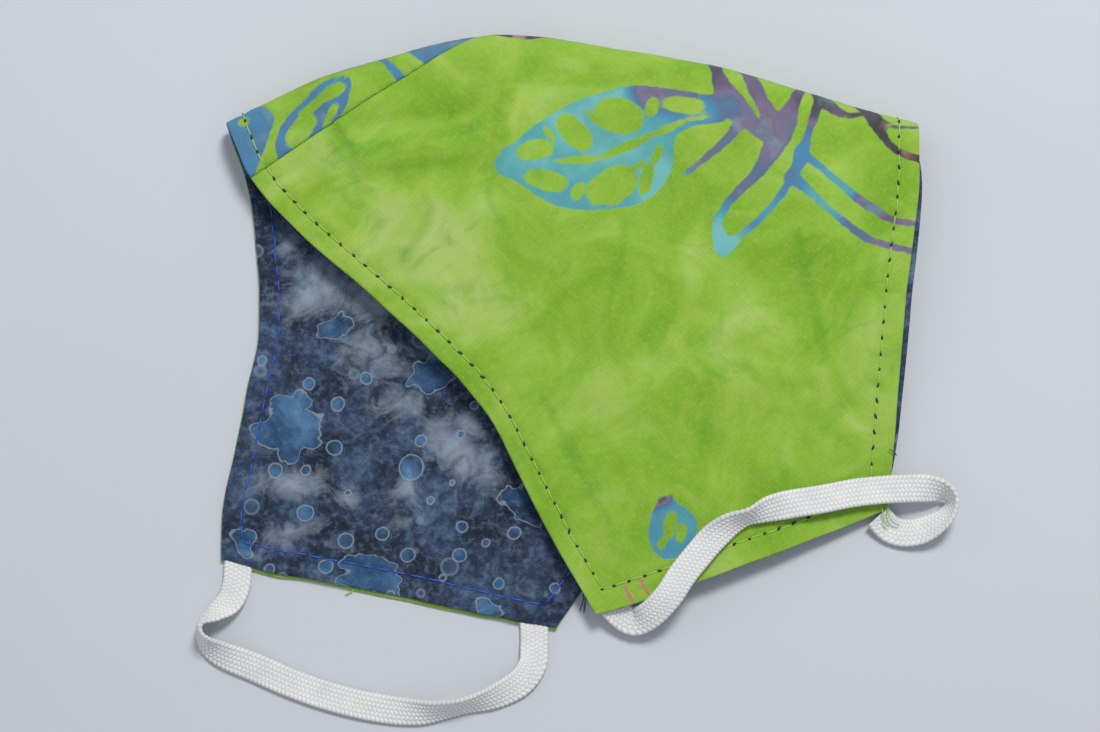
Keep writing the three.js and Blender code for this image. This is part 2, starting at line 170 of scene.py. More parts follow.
# Strokes: points with the half width there.
FRONT_STROKES = [
    [(32.4, 65, 1.4), (34.0, 59, 1.4), (35.2, 55.4, 2.2), (37.0, 52, 3.4), (40.4, 48.6, 2.4),
     (44.4, 44.6, 1.5), (48, 42.0, 1.6)],
    [(39.6, 62, 1.5), (42.2, 56.4, 1.6), (45.2, 51.0, 1.8), (48.0, 46.0, 3.0)],
    [(54.2, 59, 1.2), (51.8, 52.4, 1.4), (49.4, 46.8, 2.9), (46.6, 41.0, 2.3), (43.0, 35.4, 1.4),
     (39.2, 31.6, 1.1), (35.8, 28.0, 0.9)],
    [(39.6, 48, 1.6), (36.2, 43.4, 1.1), (31.4, 39.2, 0.8), (26.4, 35.2, 0.6)],
    [(35.8, 27.6, 0.9), (33.8, 24.0, 1.1), (33.4, 20.0, 1.0)],
    [(39.6, 21.2, 0.9), (43.2, 24.2, 0.8), (47.6, 29.2, 0.8), (50.8, 33.8, 1.0), (53.4, 39.4, 1.6),
     (55.2, 45.0, 0.9), (57.0, 50.4, 1.2), (58.2, 57.0, 1.7)],
    [(53.0, 40.6, 1.4), (57.0, 37.6, 0.9), (61.5, 33.8, 0.9), (66.0, 30.0, 1.1), (70.6, 26.8, 1.1),
     (74.4, 24.6, 0.8), (82.5, 23.0, 0.8)],
    [(51.2, 34.6, 1.8), (54.5, 31.6, 1.1), (59.0, 27.4, 0.8), (63.0, 24.0, 0.9), (67.4, 20.8, 1.0),
     (72.0, 18.9, 0.8), (82.0, 16.6, 0.8)],
    [(57.4, 54.6, 2.0), (60.6, 51.0, 1.3), (64.6, 49.2, 0.7), (69.0, 50.4, 0.5)],
    [(63, 57, 0.7), (69.4, 50.2, 1.9), (71.6, 46.6, 1.4), (74.0, 42.8, 0.9), (77.0, 40.4, 0.9),
     (83.5, 38.4, 1.0)],
    [(69.6, 49.6, 1.3), (74.0, 47.0, 0.5), (78.0, 46.4, 0.4), (84.0, 46.6, 0.4)],
    [(11.8, -60.2, 0.3), (13.6, -63.6, 0.4)],
    [(15.4, -58.8, 0.3), (17.2, -62.0, 0.4)],
    [(19.0, -40.8, 0.3), (22.4, -39.4, 0.4)],
]
BACK_FILLS = [
    [(-86, 54), (-77, 54.5), (-70.2, 50.6), (-71.2, 45.0), (-73.6, 38.6), (-77.4, 31.0), (-86, 34)],
    [(-68.2, 38.4), (-69.6, 43.4), (-67.4, 49.0), (-62.6, 53.8), (-57.2, 57.8), (-52.0, 58.8),
     (-52.6, 53.0), (-56.0, 47.4), (-60.6, 43.4), (-65.0, 40.4)],
    [(-38.6, 70.0), (-37.4, 64.8), (-32.4, 61.4), (-25.0, 66.0), (-22.0, 70), (-30.0, 74.0)],
    [(-56.8, 63.6), (-52.6, 61.2), (-48.4, 65.0), (-52.0, 69.0)],
]
BACK_CELLS = [
    (-63.6, 46.6, 4.6, 2.3, 54), (-61.0, 52.2, 3.2, 1.2, 36), (-56.4, 55.4, 3.6, 1.5, 30),
    (-56.4, 49.6, 3.4, 1.2, 66), (-76.6, 48.6, 1.5, 0.7, 30),
]
BACK_STROKES = [
    [(-46.0, 70, 0.8), (-43.2, 63.0, 0.9), (-40.8, 59.2, 1.1), (-38.2, 56.6, 1.0)],
    [(-36.8, 60.4, 0.3), (-35.8, 60.2, 0.4)],
]
# The same leaf again where the cloth runs on round the bend and underneath: shift and turn.
LEAF_REPEATS = [(-10, 118, 155), (-52, 142, 20), (34, 168, -70), (-66, 96, 250)]

# Dye pools: x, y, reach, tone (0 turquoise, 0.35 blue, 0.6 purple, 0.85 aubergine, 1 rose).
FRONT_DYE = [
    (-12, 40, 9, 0.10), (2, 50, 8, 0.02), (10, 42, 9, 0.04), (4, 30, 9, 0.14), (18, 54, 3.2, 0.62),
    (26, 54, 4, 0.5), (30, 50, 4, 0.2), (20, 34, 5, -0.06), (34, 59, 5, 0.74), (37, 51, 3.0, 0.42),
    (41, 57, 5, 0.66), (47, 45, 7, 0.58), (53, 56, 4, 0.72), (40, 33, 6, 0.46), (31, 39, 4, 0.5),
    (35, 19, 6, 0.0), (44, 26, 6, 0.24), (53, 41, 5, 0.26), (56, 52, 4, 0.78), (51, 33, 4, 0.34),
    (60, 31, 7, 0.14), (68, 27, 4, 0.62), (76, 23, 5, 0.64), (66, 21, 4, 0.5), (76, 18, 5, 0.55),
    (71, 47, 5, 0.84), (79, 40, 5, 0.86), (80, 47, 4, 0.66), (-14, 71, 7, 0.85), (23, -48, 6, 0.18),
    (14, -61, 4, 1.0), (20, -40, 2, 0.8),
]
BACK_DYE = [(-78, 45, 12, 0.3), (-60, 50, 12, 0.33), (-30, 66, 10, 0.34), (-40, 60, 8, 0.36)]

# Blotches of the lime ground: x, y, reach, tone (+ paler and yellower, - deeper green).
BLOTCHES = [
    (-31, 18, 12, 1.0), (-42, 24, 8, 0.7), (-20, 26, 7, 0.8), (-52, 36, 7, 0.7), (-24, 2, 9, 0.7),
    (-66, 38, 5, 0.6), (-60, 46, 4, 0.5), (-6, 57, 8, 0.6), (-38, 33, 5, -0.6), (-26, 53, 7, -0.5),
    (10, 22, 5, 0.4), (28, 14, 7, 0.7), (16, -8, 6, 0.5), (24, -14, 5, 0.4), (66, 2, 4, 0.6),
    (54, 14, 6, -0.9), (58, -6, 5, -0.9), (64, 8, 5, -0.6), (-24, -8, 5, -0.5), (10, 16, 4, -0.6),
    (34, -26, 9, -0.5), (56, -26, 10, -0.4), (12, -52, 8, -0.7), (0, -24, 7, -0.3), (46, -40, 9, -0.6),
    (6, -38, 5, 0.3), (2, 8, 7, -0.3), (30, 58, 8, -0.4), (-12, 36, 6, -0.2), (4, -14, 5, 0.2),
]
# Thin darker veins where the cloth lay crumpled in the dye: points with the half width there.
VEINS = [
    [(-37.3, 50.2, 0.9), (-31.1, 49.9, 0.6), (-26.9, 51.3, 0.5), (-22.8, 52.2, 0.3)],
    [(-54.8, 43.5, 0.5), (-48.6, 41.6, 0.8), (-42.3, 43.3, 0.8), (-34.6, 44.6, 0.7), (-26.9, 45.4, 0.8),
     (-20.2, 47.5, 0.6), (-15.1, 49.1, 0.3)],
    [(-47.5, 37.7, 0.5), (-39.8, 37.5, 0.8), (-32.0, 38.4, 0.7), (-22.8, 39.3, 0.3)],
    [(-57.9, 47.8, 0.4), (-54.8, 42.5, 0.7), (-51.7, 38.0, 0.6), (-49.6, 33.2, 0.6), (-46.5, 32.1, 0.2)],
    [(-34.6, 30.0, 0.4), (-32.8, 26.9, 0.8), (-35.0, 22.6, 0.8), (-37.1, 18.7, 0.6), (-39.7, 15.2, 0.2)],
    [(-19.7, 32.4, 0.4), (-18.1, 26.6, 0.7), (-14.0, 20.9, 0.3)],
    [(12.4, 24, 0.5), (11.0, 14, 0.8), (8.2, 4, 0.5), (4, -4, 0.2)],
    [(52, 22, 0.5), (54, 12, 0.9), (57, 0, 0.8), (58.5, -9, 0.3)],
    [(-7, -16, 0.4), (-2, -26, 0.8), (4, -38, 0.6), (9, -46, 0.2)],
]

# Dyed splashes of the lining seen at the lower left: x, y, reach, squash, turn, lobes, phase.
SPLASHES = [
    (-65.9, -22.4, 7.6, 0.92, 60, 7, 0.4), (-32.6, -9.8, 4.8, 0.8, 30, 6, 1.1),
    (-12.0, -40.4, 5.2, 0.8, -50, 6, 2.0), (-46.3, -57.0, 7.4, 0.6, -8, 7, 0.9),
    (-76.0, -49.8, 3.2, 1.0, 0, 3, 0.2), (-18.6, -65.6, 2.9, 0.9, 0, 3, 1.3),
    (-56.4, 1.6, 3.8, 0.7, 15, 5, 2.4), (-20.4, -12.6, 2.6, 0.5, -30, 5, 0.1),
    (26, 30, 7.0, 0.8, 40, 7, 0.3), (50, 10, 5.0, 0.8, 10, 6, 1.9), (0, 42, 6.0, 0.7, 70, 7, 2.7),
    (-30, 46, 5.0, 0.8, 20, 6, 0.6), (30, -20, 6.0, 0.8, -30, 7, 1.5), (62, -24, 4.5, 0.8, 5, 6, 0.2),
    (20, 95, 7.5, 0.8, 60, 7, 1.7), (-20, 120, 6.5, 0.8, 10, 6, 0.8), (60, 110, 6.0, 0.8, 80, 7, 2.2),
]
# Small spots thrown off them: x, y, reach.
SPOTS = [
    (-69.1, -33.0, 1.7), (-62.0, -33.0, 1.3), (-55.4, -27.7, 1.8), (-35.2, -26.0, 1.4),
    (-37.5, -32.3, 2.9), (-52.2, -38.2, 1.0), (-52.5, -49.5, 1.8), (-44.0, -47.8, 1.5),
    (-38.2, -52.8, 1.6), (-25.5, -46.2, 1.4), (-26.1, -52.8, 1.6), (-17.0, -59.4, 1.2),
    (-13.4, -47.8, 1.7), (-4.0, -60.4, 1.2), (-57.1, -55.5, 1.5), (-72.7, -7.1, 1.1),
    (-48.3, -11.4, 1.3), (-54.8, -17.4, 1.6), (-61.6, -12.6, 1.4), (-26.0, -24.6, 1.1),
    (-22.8, -17.8, 0.9), (-33.0, -40.0, 0.9), (-20.0, -50.0, 0.8), (-30.0, -58.0, 0.9),
    (-42.0, -62.0, 1.0), (-62.0, -43.0, 1.9), (-70.0, -56.0, 1.0), (-28.0, -36.0, 0.8),
]
# Pale clouds where the wax kept the dye thin: x, y, half length, half width, turn, strength.
CLOUDS = [
    (-59.5, 9.5, 9, 6.5, 20, 0.85), (-48.0, 7.0, 8, 5, -30, 0.8), (-48.0, -6.0, 10, 6, -30, 0.62),
    (-40.6, -17.2, 6.5, 4, 10, 0.7), (-26.5, -29.0, 10, 5, -38, 0.9), (-65.0, -36.2, 8, 3.6, 0, 0.85),
    (-66.5, -48.0, 7, 3.0, 30, 0.72), (-39.0, -36.8, 3.6, 3.0, 0, 0.66), (-24.0, -22.5, 5, 2.6, -20, 0.7),
    (-52.0, -39.0, 3.6, 3.4, 0, 0.6), (-66.6, 20.0, 3.4, 2.6, 60, 0.6), (-33.0, -3.0, 5, 2.4, -40, 0.5),
    (-74.0, -22.0, 1.5, 7.0, 8, 0.35), (-76.0, -36.0, 1.6, 4.0, 8, 0.4), (-40.0, -45.0, 4, 2, 20, 0.3),
    (20, 20, 12, 6, 40, 0.8), (48, 32, 10, 6, -20, 0.7), (0, 0, 9, 5, 60, 0.7), (60, -8, 9, 5, 80, 0.7),
    (10, 60, 12, 6, 0, 0.7), (-10, 100, 14, 7, 30, 0.8), (40, 130, 12, 7, -40, 0.7),
]


# ---------------------------------------------------------------------------------------------
# The folded wall
# ---------------------------------------------------------------------------------------------


def smooth_table(places, values, at):
    """A smooth curve through a table's rows, read at many places at once."""
    places = np.asarray(places, float)
    values = np.asarray(values, float)
    before = np.concatenate([[0], np.arange(len(places) - 1)])
    after = np.concatenate([np.arange(1, len(places)), [len(places) - 1]])
    slopes = (values[after] - values[before]) / (places[after] - places[before])
    i = np.clip(np.searchsorted(places, at, side="right") - 1, 0, len(places) - 2)
    span = places[i + 1] - places[i]
    t = (at - places[i]) / span
    rise = values[i + 1] - values[i]
    m, n = slopes[i] * span, slopes[i + 1] * span
    return values[i] + t * (m + t * ((3 * rise - 2 * m - n) + t * (m + n - 2 * rise)))


def section(column, v):
    return smooth_table([s["at"] for s in SECTIONS], [s[column] for s in SECTIONS], v)


def line_lift(lines, x, y):
    """Height of soft ridges and dips that follow straight lines on the cloth."""
    total = np.zeros_like(x)
    for x1, y1, x2, y2, breadth, height in lines:
        dx, dy = x2 - x1, y2 - y1
        t = np.clip(((x - x1) * dx + (y - y1) * dy) / (dx * dx + dy * dy), 0, 1)
        away2 = ((x - x1 - dx * t) ** 2 + (y - y1 - dy * t) ** 2) / breadth**2
        total += height * np.sin(math.pi * (0.15 + 0.7 * t)) * np.exp(-away2)
    return total


def plan_place(side, v, down):
    """Place in plan on one side of the bend: down is 0 on the bend and 1 on the ear side."""
    fx, fy = section("fold_x", v), section("fold_y", v)
    name = "front" if side > 0 else "back"
    ex, ey = section(name + "_x", v), section(name + "_y", v)
    length = np.hypot(ex - fx, ey - fy)
    ux, uy = (ex - fx) / length, (ey - fy) / length
    t = np.clip(down, 0, 1)
    left = smooth_table(*zip(*(LEFT_EDGE_FRONT if side > 0 else LEFT_EDGE_BACK)), t)
    right = smooth_table(*zip(*RIGHT_EDGE_FRONT), t) if side > 0 else 0
    bow = left * (1 - v) ** 2 - right * v**2
    x = fx + (ex - fx) * down - uy * bow
    y = fy + (ey - fy) * down + ux * bow
    return x, y, length


def wall_middle(v, girth):
    """Middle of the wall. girth runs round the bend: + over the upper side, - underneath."""
    v, girth = np.broadcast_arrays(np.asarray(v, float), np.asarray(girth, float))
    radius = section("radius", v)
    bend = radius * math.pi / 2
    size = np.abs(girth)
    turn = np.clip(girth / radius, -math.pi / 2, math.pi / 2)
    inward = np.where(size <= bend, radius * (1 - np.cos(turn)), radius + size - bend)
    upper = girth >= 0
    _, _, front_length = plan_place(1, v, 0 * v)
    _, _, back_length = plan_place(-1, v, 0 * v)
    fx, fy, _ = plan_place(1, v, inward / front_length)
    bx, by, _ = plan_place(-1, v, inward / back_length)
    x, y = np.where(upper, fx, bx), np.where(upper, fy, by)
    start = radius / front_length
    t = np.clip((inward / front_length - start) / (1 - start), 0, 1)
    # the same four heights as the sections give, joined by one smooth curve
    top, high = BASE + 2 * radius, section("high", v)
    low, ear = section("low", v), section("ear", v)
    heights = np.stack([top, high, low, ear])
    slopes = np.stack([(high - top) * 3, (low - top) * 1.5, (ear - high) * 1.5, (ear - low) * 3])
    k = np.clip((t * 3).astype(int), 0, 2)
    f = t * 3 - k
    take = lambda rows, index: np.take_along_axis(rows, index[None], 0)[0]
    a, b = take(heights, k), take(heights, k + 1)
    m, n = take(slopes, k) / 3, take(slopes, k + 1) / 3
    z_up = a + f * (m + f * ((3 * (b - a) - 2 * m - n) + f * (m + n - 2 * (b - a))))
    settle = np.minimum(1, t * 6) * np.minimum(1, (1 - t) * 6)
    z_up = z_up + settle * line_lift(DENTS, x, y)
    z_bend = BASE + radius * (1 + np.sin(turn))
    z = np.where(size <= bend, z_bend, np.where(upper, z_up, BASE))
    return np.stack([x, y, z], -1)


def ear_girth(side, v):
    _, _, length = plan_place(side, v, 0 * v)
    radius = section("radius", v)
    return side * (length - radius + radius * math.pi / 2)


def wall_normal(v, girth):
    v, girth = np.broadcast_arrays(np.asarray(v, float), np.asarray(girth, float))
    dv, dg = 0.002, 0.25
    along_v = wall_middle(np.minimum(1, v + dv), girth) - wall_middle(np.maximum(0, v - dv), girth)
    along_g = wall_middle(v, girth + dg) - wall_middle(v, girth - dg)
    normal = np.cross(along_g, along_v)
    return normal / np.linalg.norm(normal, axis=-1, keepdims=True)


def flat_place(v, girth, home):
    """Where a point lies on the half spread flat: its home sheet (+1 upper, -1 under) stays where
    it lies, and the other sheet is turned over beyond the bend."""
    v, girth = np.broadcast_arrays(np.asarray(v, float), np.asarray(girth, float))
    radius = section("radius", v)
    bend = radius * math.pi / 2
    here, kept, other = (wall_middle(v, g) for g in (girth, home * bend, -home * bend))
    past = bend - home * girth
    share = np.clip(past / (2 * bend), 0, 1)
    x = kept[..., 0] + (other[..., 0] - kept[..., 0]) * share
    y = kept[..., 1] + past
    turned = 2 * section("fold_y", v) - here[..., 1] + (math.pi - 2) * radius
    x = np.where((past <= 0) | (share >= 1), here[..., 0], x)
    y = np.where(past <= 0, here[..., 1], np.where(share >= 1, turned, y))
    return x - MIDDLE_X, y - MIDDLE_Y


def soft_noise(x, y, size, seed):
    """Smooth seeded unevenness between -1 and 1, with humps about one size across."""
    grid = np.random.default_rng(seed).uniform(-1, 1, (64, 64))
    gx, gy = x / size + 200, y / size + 200
    ix, iy = np.floor(gx).astype(int), np.floor(gy).astype(int)
    fx, fy = gx - ix, gy - iy
    fx, fy = fx * fx * (3 - 2 * fx), fy * fy * (3 - 2 * fy)
    a, b = grid[ix % 64, iy % 64], grid[(ix + 1) % 64, iy % 64]
    c, d = grid[ix % 64, (iy + 1) % 64], grid[(ix + 1) % 64, (iy + 1) % 64]
    return (a * (1 - fx) + b * fx) * (1 - fy) + (c * (1 - fx) + d * fx) * fy


def across_spacing(side, column_v):
    """How fast v and the row share move across the cloth's edges, so insets come out in mm."""
    rows = np.linspace(0, 1, 160)
    seam, ear = section("seam", column_v + 0 * rows), ear_girth(side, column_v + 0 * rows)
    girth = seam + (ear - seam) * rows
    dv = 0.004
    here, there = wall_middle(column_v, girth), wall_middle(abs(column_v - dv), girth)
    along = np.gradient(here, axis=0)
    along /= np.linalg.norm(along, axis=-1, keepdims=True)
    step = there - here
    step = step - (step * along).sum(-1, keepdims=True) * along
    return rows, np.linalg.norm(step, axis=-1) / dv


EDGE_STEPS = np.array([0, 0.07, 0.2, 0.42, 0.8, 1.4, 2.1, 2.8, 3.4, 3.8, 4.2, 4.6, 5.0, 5.4, 5.9,
                       6.6, 7.4, 8.2])


def edge_distances(side, v, girth):
    """How far a point is from the left, right and ear edges and from the seam, in mm."""
    seam, ear = section("seam", v), ear_girth(side, v)
    row = (girth - seam) / (ear - seam)
    place, left = across_spacing(side, 0.0)
    _, right = across_spacing(side, 1.0)
    left, right = np.interp(row, place, left), np.interp(row, place, right)
    return v * left, (1 - v) * right, np.abs(ear - girth), np.abs(girth - seam)


def ply_grid(side):
    """Rows from the seam to the ear side and columns from left to right, close at every edge."""
    length = 120.0
    rows = np.concatenate([EDGE_STEPS / length, np.linspace(8.2, length - 8.2, 120)[1:-1] / length,
                           1 - EDGE_STEPS[::-1] / length])
    place, left = across_spacing(side, 0.0)
    _, right = across_spacing(side, 1.0)
    near_left = EDGE_STEPS[None] / np.interp(rows, place, left)[:, None]
    near_right = 1 - EDGE_STEPS[::-1][None] / np.interp(rows, place, right)[:, None]
    share = np.linspace(0, 1, 142)[1:-1][None]
    middle = near_left[:, -1:] * (1 - share) + near_right[:, :1] * share
    v = np.concatenate([near_left, middle, near_right], 1)
    seam, ear = section("seam", v), ear_girth(side, v)
    return v, seam + (ear - seam) * rows[:, None]


def rounding(distance, radius):
    """0 at a turned edge, 1 past its radius, along a quarter circle."""
    s = 1 - np.clip(distance / radius, 0, 1)
    return np.sqrt(np.maximum(0, 1 - s * s))


def step_up(x, start, end):
    t = np.clip((x - start) / (end - start), 0, 1)
    return t * t * (3 - 2 * t)


def stitch_dimple(away, along, depth):
    """A stitched line presses the cloth down, deepest at each needle hole."""
    at_hole = 0.5 + 0.5 * np.cos(2 * math.pi * along / STITCH_PITCH)
    return -depth * (0.6 + 0.4 * at_hole) * np.exp(-((away / 0.75) ** 2))


def stitch_puff(away, along):
    """The cloth rises a little between the stitches and the edge."""
    ripple = np.cos(2 * math.pi * along / STITCH_PITCH)
    return -0.07 * ripple * np.exp(-((away + 1.6) ** 2) / 2.4)


def cloth_lift(x, y):
    """Handling creases: broad soft waves, smaller ones, and a few sharp ridges."""
    ridge = 0.5 - np.abs(soft_noise(x, y, 24, 9) + 0.25 * soft_noise(x, y, 11, 10))
    return (0.8 * soft_noise(x, y, 23, 5) + 0.45 * soft_noise(x, y, 9.5, 6)
            + 0.12 * soft_noise(x, y, 3.6, 7) + 0.8 * ridge)


def ply_points(side, face, v, girth):
    """The shown face and the hidden face of one ply, and the way out of its shown face."""
    left, right, ear, seam = edge_distances(side, v, girth)
    x, y = flat_place(v, girth, 1)
    point, normal = wall_middle(v, girth), wall_normal(v, girth)
    free = np.minimum(np.minimum(left, right), ear)
    upper = step_up(girth, -2, 6)
    hem = 1 - step_up(free, HEM_WIDTH - 0.8, HEM_WIDTH + 0.8)
    lift = cloth_lift(x, y) * (0.3 + 0.7 * step_up(free, 1, 10))
    edge_wave = 0.16 * soft_noise(x, y, 12, 8) * (1 - step_up(free, 0, 6)) * upper
    raised = (lift + 2.3 * line_lift(CREASES, x, y)) * upper + edge_wave

    shape = 0.16 * hem + 0.2 * (1 - step_up(seam, 5.6, 7.6)) * step_up(seam, 0.1, 1.6)
    sides = np.minimum(left - STITCH_INSET["left"], right - STITCH_INSET["right"])
    for away, inset, along, run in (
        (left, "left", girth, ear - STITCH_INSET["ear"]),
        (right, "right", girth, ear - STITCH_INSET["ear"]),
        (ear, "ear", v * EAR_LENGTH, sides),
    ):
        shape += (stitch_dimple(away - STITCH_INSET[inset], along, 0.26)
                  + stitch_puff(away - STITCH_INSET[inset], along)) * step_up(run, -0.8, 0)

    thick = HEM_THICK
    at_edge, at_seam = rounding(free, EDGE_ROUND), rounding(seam, SEAM_ROUND)
    if face == "outer":
        shown = OUTER_FACE - 0.16 + shape + raised
        # underneath, the cloth lies on the table and can't bulge past it
        shown = np.where(girth < 0, np.minimum(shown, OUTER_FACE - 0.01), shown)
        middle = OUTER_FACE - thick / 2 + edge_wave
        hidden = np.minimum(OUTER_FACE - thick + raised - edge_wave, shown - 0.05)
        shown = middle + (shown - middle) * at_edge - (1 - at_seam) * 0.62
        hidden = middle + (hidden - middle) * at_edge
        hidden = np.where(free <= 0, shown, np.minimum(hidden, shown - 0.02))
    else:
        raised = np.where(girth < 0, -0.9 * np.maximum(0, lift), raised)
        shown = LINING_FACE + 0.16 - shape + raised
        middle = LINING_FACE + thick / 2 + edge_wave
        hidden = np.maximum(LINING_FACE + thick + raised - edge_wave, shown + 0.05)
        shown = middle + (shown - middle) * at_edge + (1 - at_seam) * 0.5
        hidden = middle + (hidden - middle) * at_edge
        hidden = np.where(free <= 0, shown, np.maximum(hidden, shown + 0.02))

    # the plies aren't cut to quite the same size, so one rolls out past the other
    roll = np.zeros_like(point)
    if face == "lining" and side > 0:
        down = np.clip(girth / ear_girth(1, v), 0, 1)
        peek = 1.5 * np.sqrt(np.maximum(0, np.sin(math.pi * np.clip((down - 0.12) / 0.8, 0, 1))))
        roll[..., 0] = peek * (1 - step_up(right, 0, 5))
    if face == "outer" and side < 0:
        roll[..., 1] = -(0.55 + 0.25 * soft_noise(x, y, 14, 11)) * (1 - step_up(ear, 0, 4))
        roll[..., 0] = -0.35 * (1 - step_up(left, 0, 4)) * (0.4 + 0.6 * soft_noise(x, y, 9, 12))
    # the free edges waver a little in plan too
    waver = 0.25 * soft_noise(x, y, 8, 13)
    roll[..., 0] += waver * (1 - step_up(np.minimum(left, right), 0, 3))
    roll[..., 1] += waver * (1 - step_up(ear, 0, 3))

    shift = np.array([MIDDLE_X, MIDDLE_Y, 0])
    top = point + normal * shown[..., None] + roll - shift
    under = point + normal * hidden[..., None] + roll - shift
    top[..., 2] = np.maximum(top[..., 2], 0.02)
    under[..., 2] = np.maximum(under[..., 2], 0.02)
    return top, under, normal if face == "outer" else -normal


# ---------------------------------------------------------------------------------------------
# Printed shapes as distances, so that their edges stay sharp on the cloth
# ---------------------------------------------------------------------------------------------


def smooth_path(points, closed, per_step=8):
    """Catmull-Rom points through a given path. Extra columns, such as widths, go with it."""
    p = np.asarray(points, float)
    count = len(p)
    out = []
    for i in range(count if closed else count - 1):
        index = [i - 1, i, i + 1, i + 2]
        index = [k % count if closed else min(max(k, 0), count - 1) for k in index]
        a, b, c, d = p[index]
        for t in np.arange(per_step) / per_step:
            out.append(0.5 * (2 * b + (c - a) * t + (2 * a - 5 * b + 4 * c - d) * t * t
                              + (3 * b - a - 3 * c + d) * t**3))
    if not closed:
        out.append(p[-1])
    return np.array(out)


def inside_outline(outline, x, y):
    """Distance to a closed outline, + inside."""
    path = smooth_path(outline, True, 5)
    nearest = np.full(x.shape, 1e6)
    inside = np.zeros(x.shape, bool)
    for (x1, y1), (x2, y2) in zip(path, np.roll(path, -1, 0)):
        dx, dy = x2 - x1, y2 - y1
        t = np.clip(((x - x1) * dx + (y - y1) * dy) / (dx * dx + dy * dy + 1e-9), 0, 1)
        nearest = np.minimum(nearest, (x - x1 - dx * t) ** 2 + (y - y1 - dy * t) ** 2)
        crosses = (y1 > y) != (y2 > y)
        inside ^= crosses & (x < x1 + (y - y1) * dx / (dy if dy else 1e-9))
    return np.where(inside, 1, -1) * np.sqrt(nearest)


def inside_stroke(stroke, x, y):
    path = smooth_path(stroke, False, 5)
    best = np.full(x.shape, -1e6)
    for (x1, y1, w1), (x2, y2, w2) in zip(path[:-1], path[1:]):
        dx, dy = x2 - x1, y2 - y1
        t = np.clip(((x - x1) * dx + (y - y1) * dy) / (dx * dx + dy * dy + 1e-9), 0, 1)
        away = np.hypot(x - x1 - dx * t, y - y1 - dy * t)
        best = np.maximum(best, w1 + (w2 - w1) * t - away)
    return best


def inside_cell(cell, x, y):
    cx, cy, long, wide, turn = cell
    c, s = math.cos(math.radians(turn)), math.sin(math.radians(turn))
    u, w = (x - cx) * c + (y - cy) * s, -(x - cx) * s + (y - cy) * c
    reach = (np.abs(u / long) ** 2.4 + np.abs(w / wide) ** 2.4) ** (1 / 2.4)
    return (CELL_GROWTH - reach) * wide


def leaf_shape(x, y):
    within = inside_outline(FRONT_FILLS[0], x, y)
    value = within
    for cell in FRONT_CELLS[:17]:
        value = np.minimum(value, -inside_cell(cell, x, y))
    return np.maximum(value, np.minimum(within, LEAF_RIM - within))


def print_field(fills, cells, strokes, repeats, x, y):
    """Signed distance into the printed motif, in mm, held between -3 and 3."""
    within = np.full(x.shape, -3.0)
    for outline in fills:
        within = np.maximum(within, inside_outline(outline, x, y))
    value = within
    for cell in cells:
        value = np.minimum(value, -inside_cell(cell, x, y))
    value = np.maximum(value, np.minimum(within, LEAF_RIM - within))
    for stroke in strokes:
        value = np.maximum(value, inside_stroke(stroke, x, y))
    for shift_x, shift_y, turn in repeats:
        c, s = math.cos(math.radians(turn)), math.sin(math.radians(turn))
        u, w = x - shift_x, y - shift_y
        value = np.maximum(value, leaf_shape(u * c + w * s + 4, -u * s + w * c + 42))
    return np.clip(value, -3, 3)


def dye_field(pools, x, y, rest):
    total, weight = np.full(x.shape, rest * 0.02), np.full(x.shape, 0.02)
    for px, py, reach, tone in pools:
        w = 1 / (0.05 + (np.hypot(x - px, y - py) / reach) ** 4)
        total += w * tone
        weight += w
    return total / weight


def blotch_field(x, y):
    value = np.zeros(x.shape)
    for cx, cy, reach, tone in BLOTCHES:
        value += tone * np.exp(-((x - cx) ** 2 + (y - cy) ** 2) / reach**2)
    return np.clip(value, -1, 1)


def vein_field(x, y):
    value = np.full(x.shape, -4.0)
    for vein in VEINS:
        value = np.maximum(value, inside_stroke(vein, x, y))
    return value


def splash_field(x, y):
    """Signed distance into the lining's lobed splashes, + inside."""
    # the wet dye ran unevenly, so the round splashes are pushed about before they are drawn
    x, y = (x + 1.5 * soft_noise(x, y, 4.2, 21) + 0.7 * soft_noise(x, y, 1.9, 23),
            y + 1.5 * soft_noise(x, y, 4.2, 22) + 0.7 * soft_noise(x, y, 1.9, 24))
    value = np.full(x.shape, -4.0)
    for cx, cy, reach, squash, turn, lobes, phase in SPLASHES:
        c, s = math.cos(math.radians(turn)), math.sin(math.radians(turn))
        u, w = (x - cx) * c + (y - cy) * s, (-(x - cx) * s + (y - cy) * c) / squash
        angle = np.arctan2(w, u)
        rim = 1 + 0.10 * np.sin(lobes * angle + phase) + 0.12 * np.sin((lobes - 3) * angle - 2 * phase)
        rim += 0.05 * np.sin((2 * lobes + 1) * angle + 2 * phase)
        value = np.maximum(value, (reach * rim - np.hypot(u, w)) * math.sqrt(squash))
    return np.clip(value, -4, 4)


def spot_field(x, y):
    value = np.full(x.shape, -4.0)
    for cx, cy, reach in SPOTS:
        value = np.maximum(value, reach - np.hypot(x - cx, y - cy))
    return np.clip(value, -4, 4)


def cloud_field(x, y):
    value = np.zeros(x.shape)
    for cx, cy, long, wide, turn, strength in CLOUDS:
        c, s = math.cos(math.radians(turn)), math.sin(math.radians(turn))
        u, w = (x - cx) * c + (y - cy) * s, -(x - cx) * s + (y - cy) * c
        value = np.maximum(value, strength * np.exp(-((u / long) ** 2) - (w / wide) ** 2))
    return value


# ---------------------------------------------------------------------------------------------
# Meshes
# ---------------------------------------------------------------------------------------------


def new_mesh(name, points, faces, material):
    """A smooth-shaded piece from points in millimetres."""
    mesh = bpy.data.meshes.new(name)
    mesh.from_pydata((np.asarray(points, float) * MM).tolist(), [], faces)
    mesh.update()
    mesh.shade_smooth()
    mesh.materials.append(material)
    piece = bpy.data.objects.new(name, mesh)
    bpy.context.scene.collection.objects.link(piece)
    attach(piece, "root")
    return piece


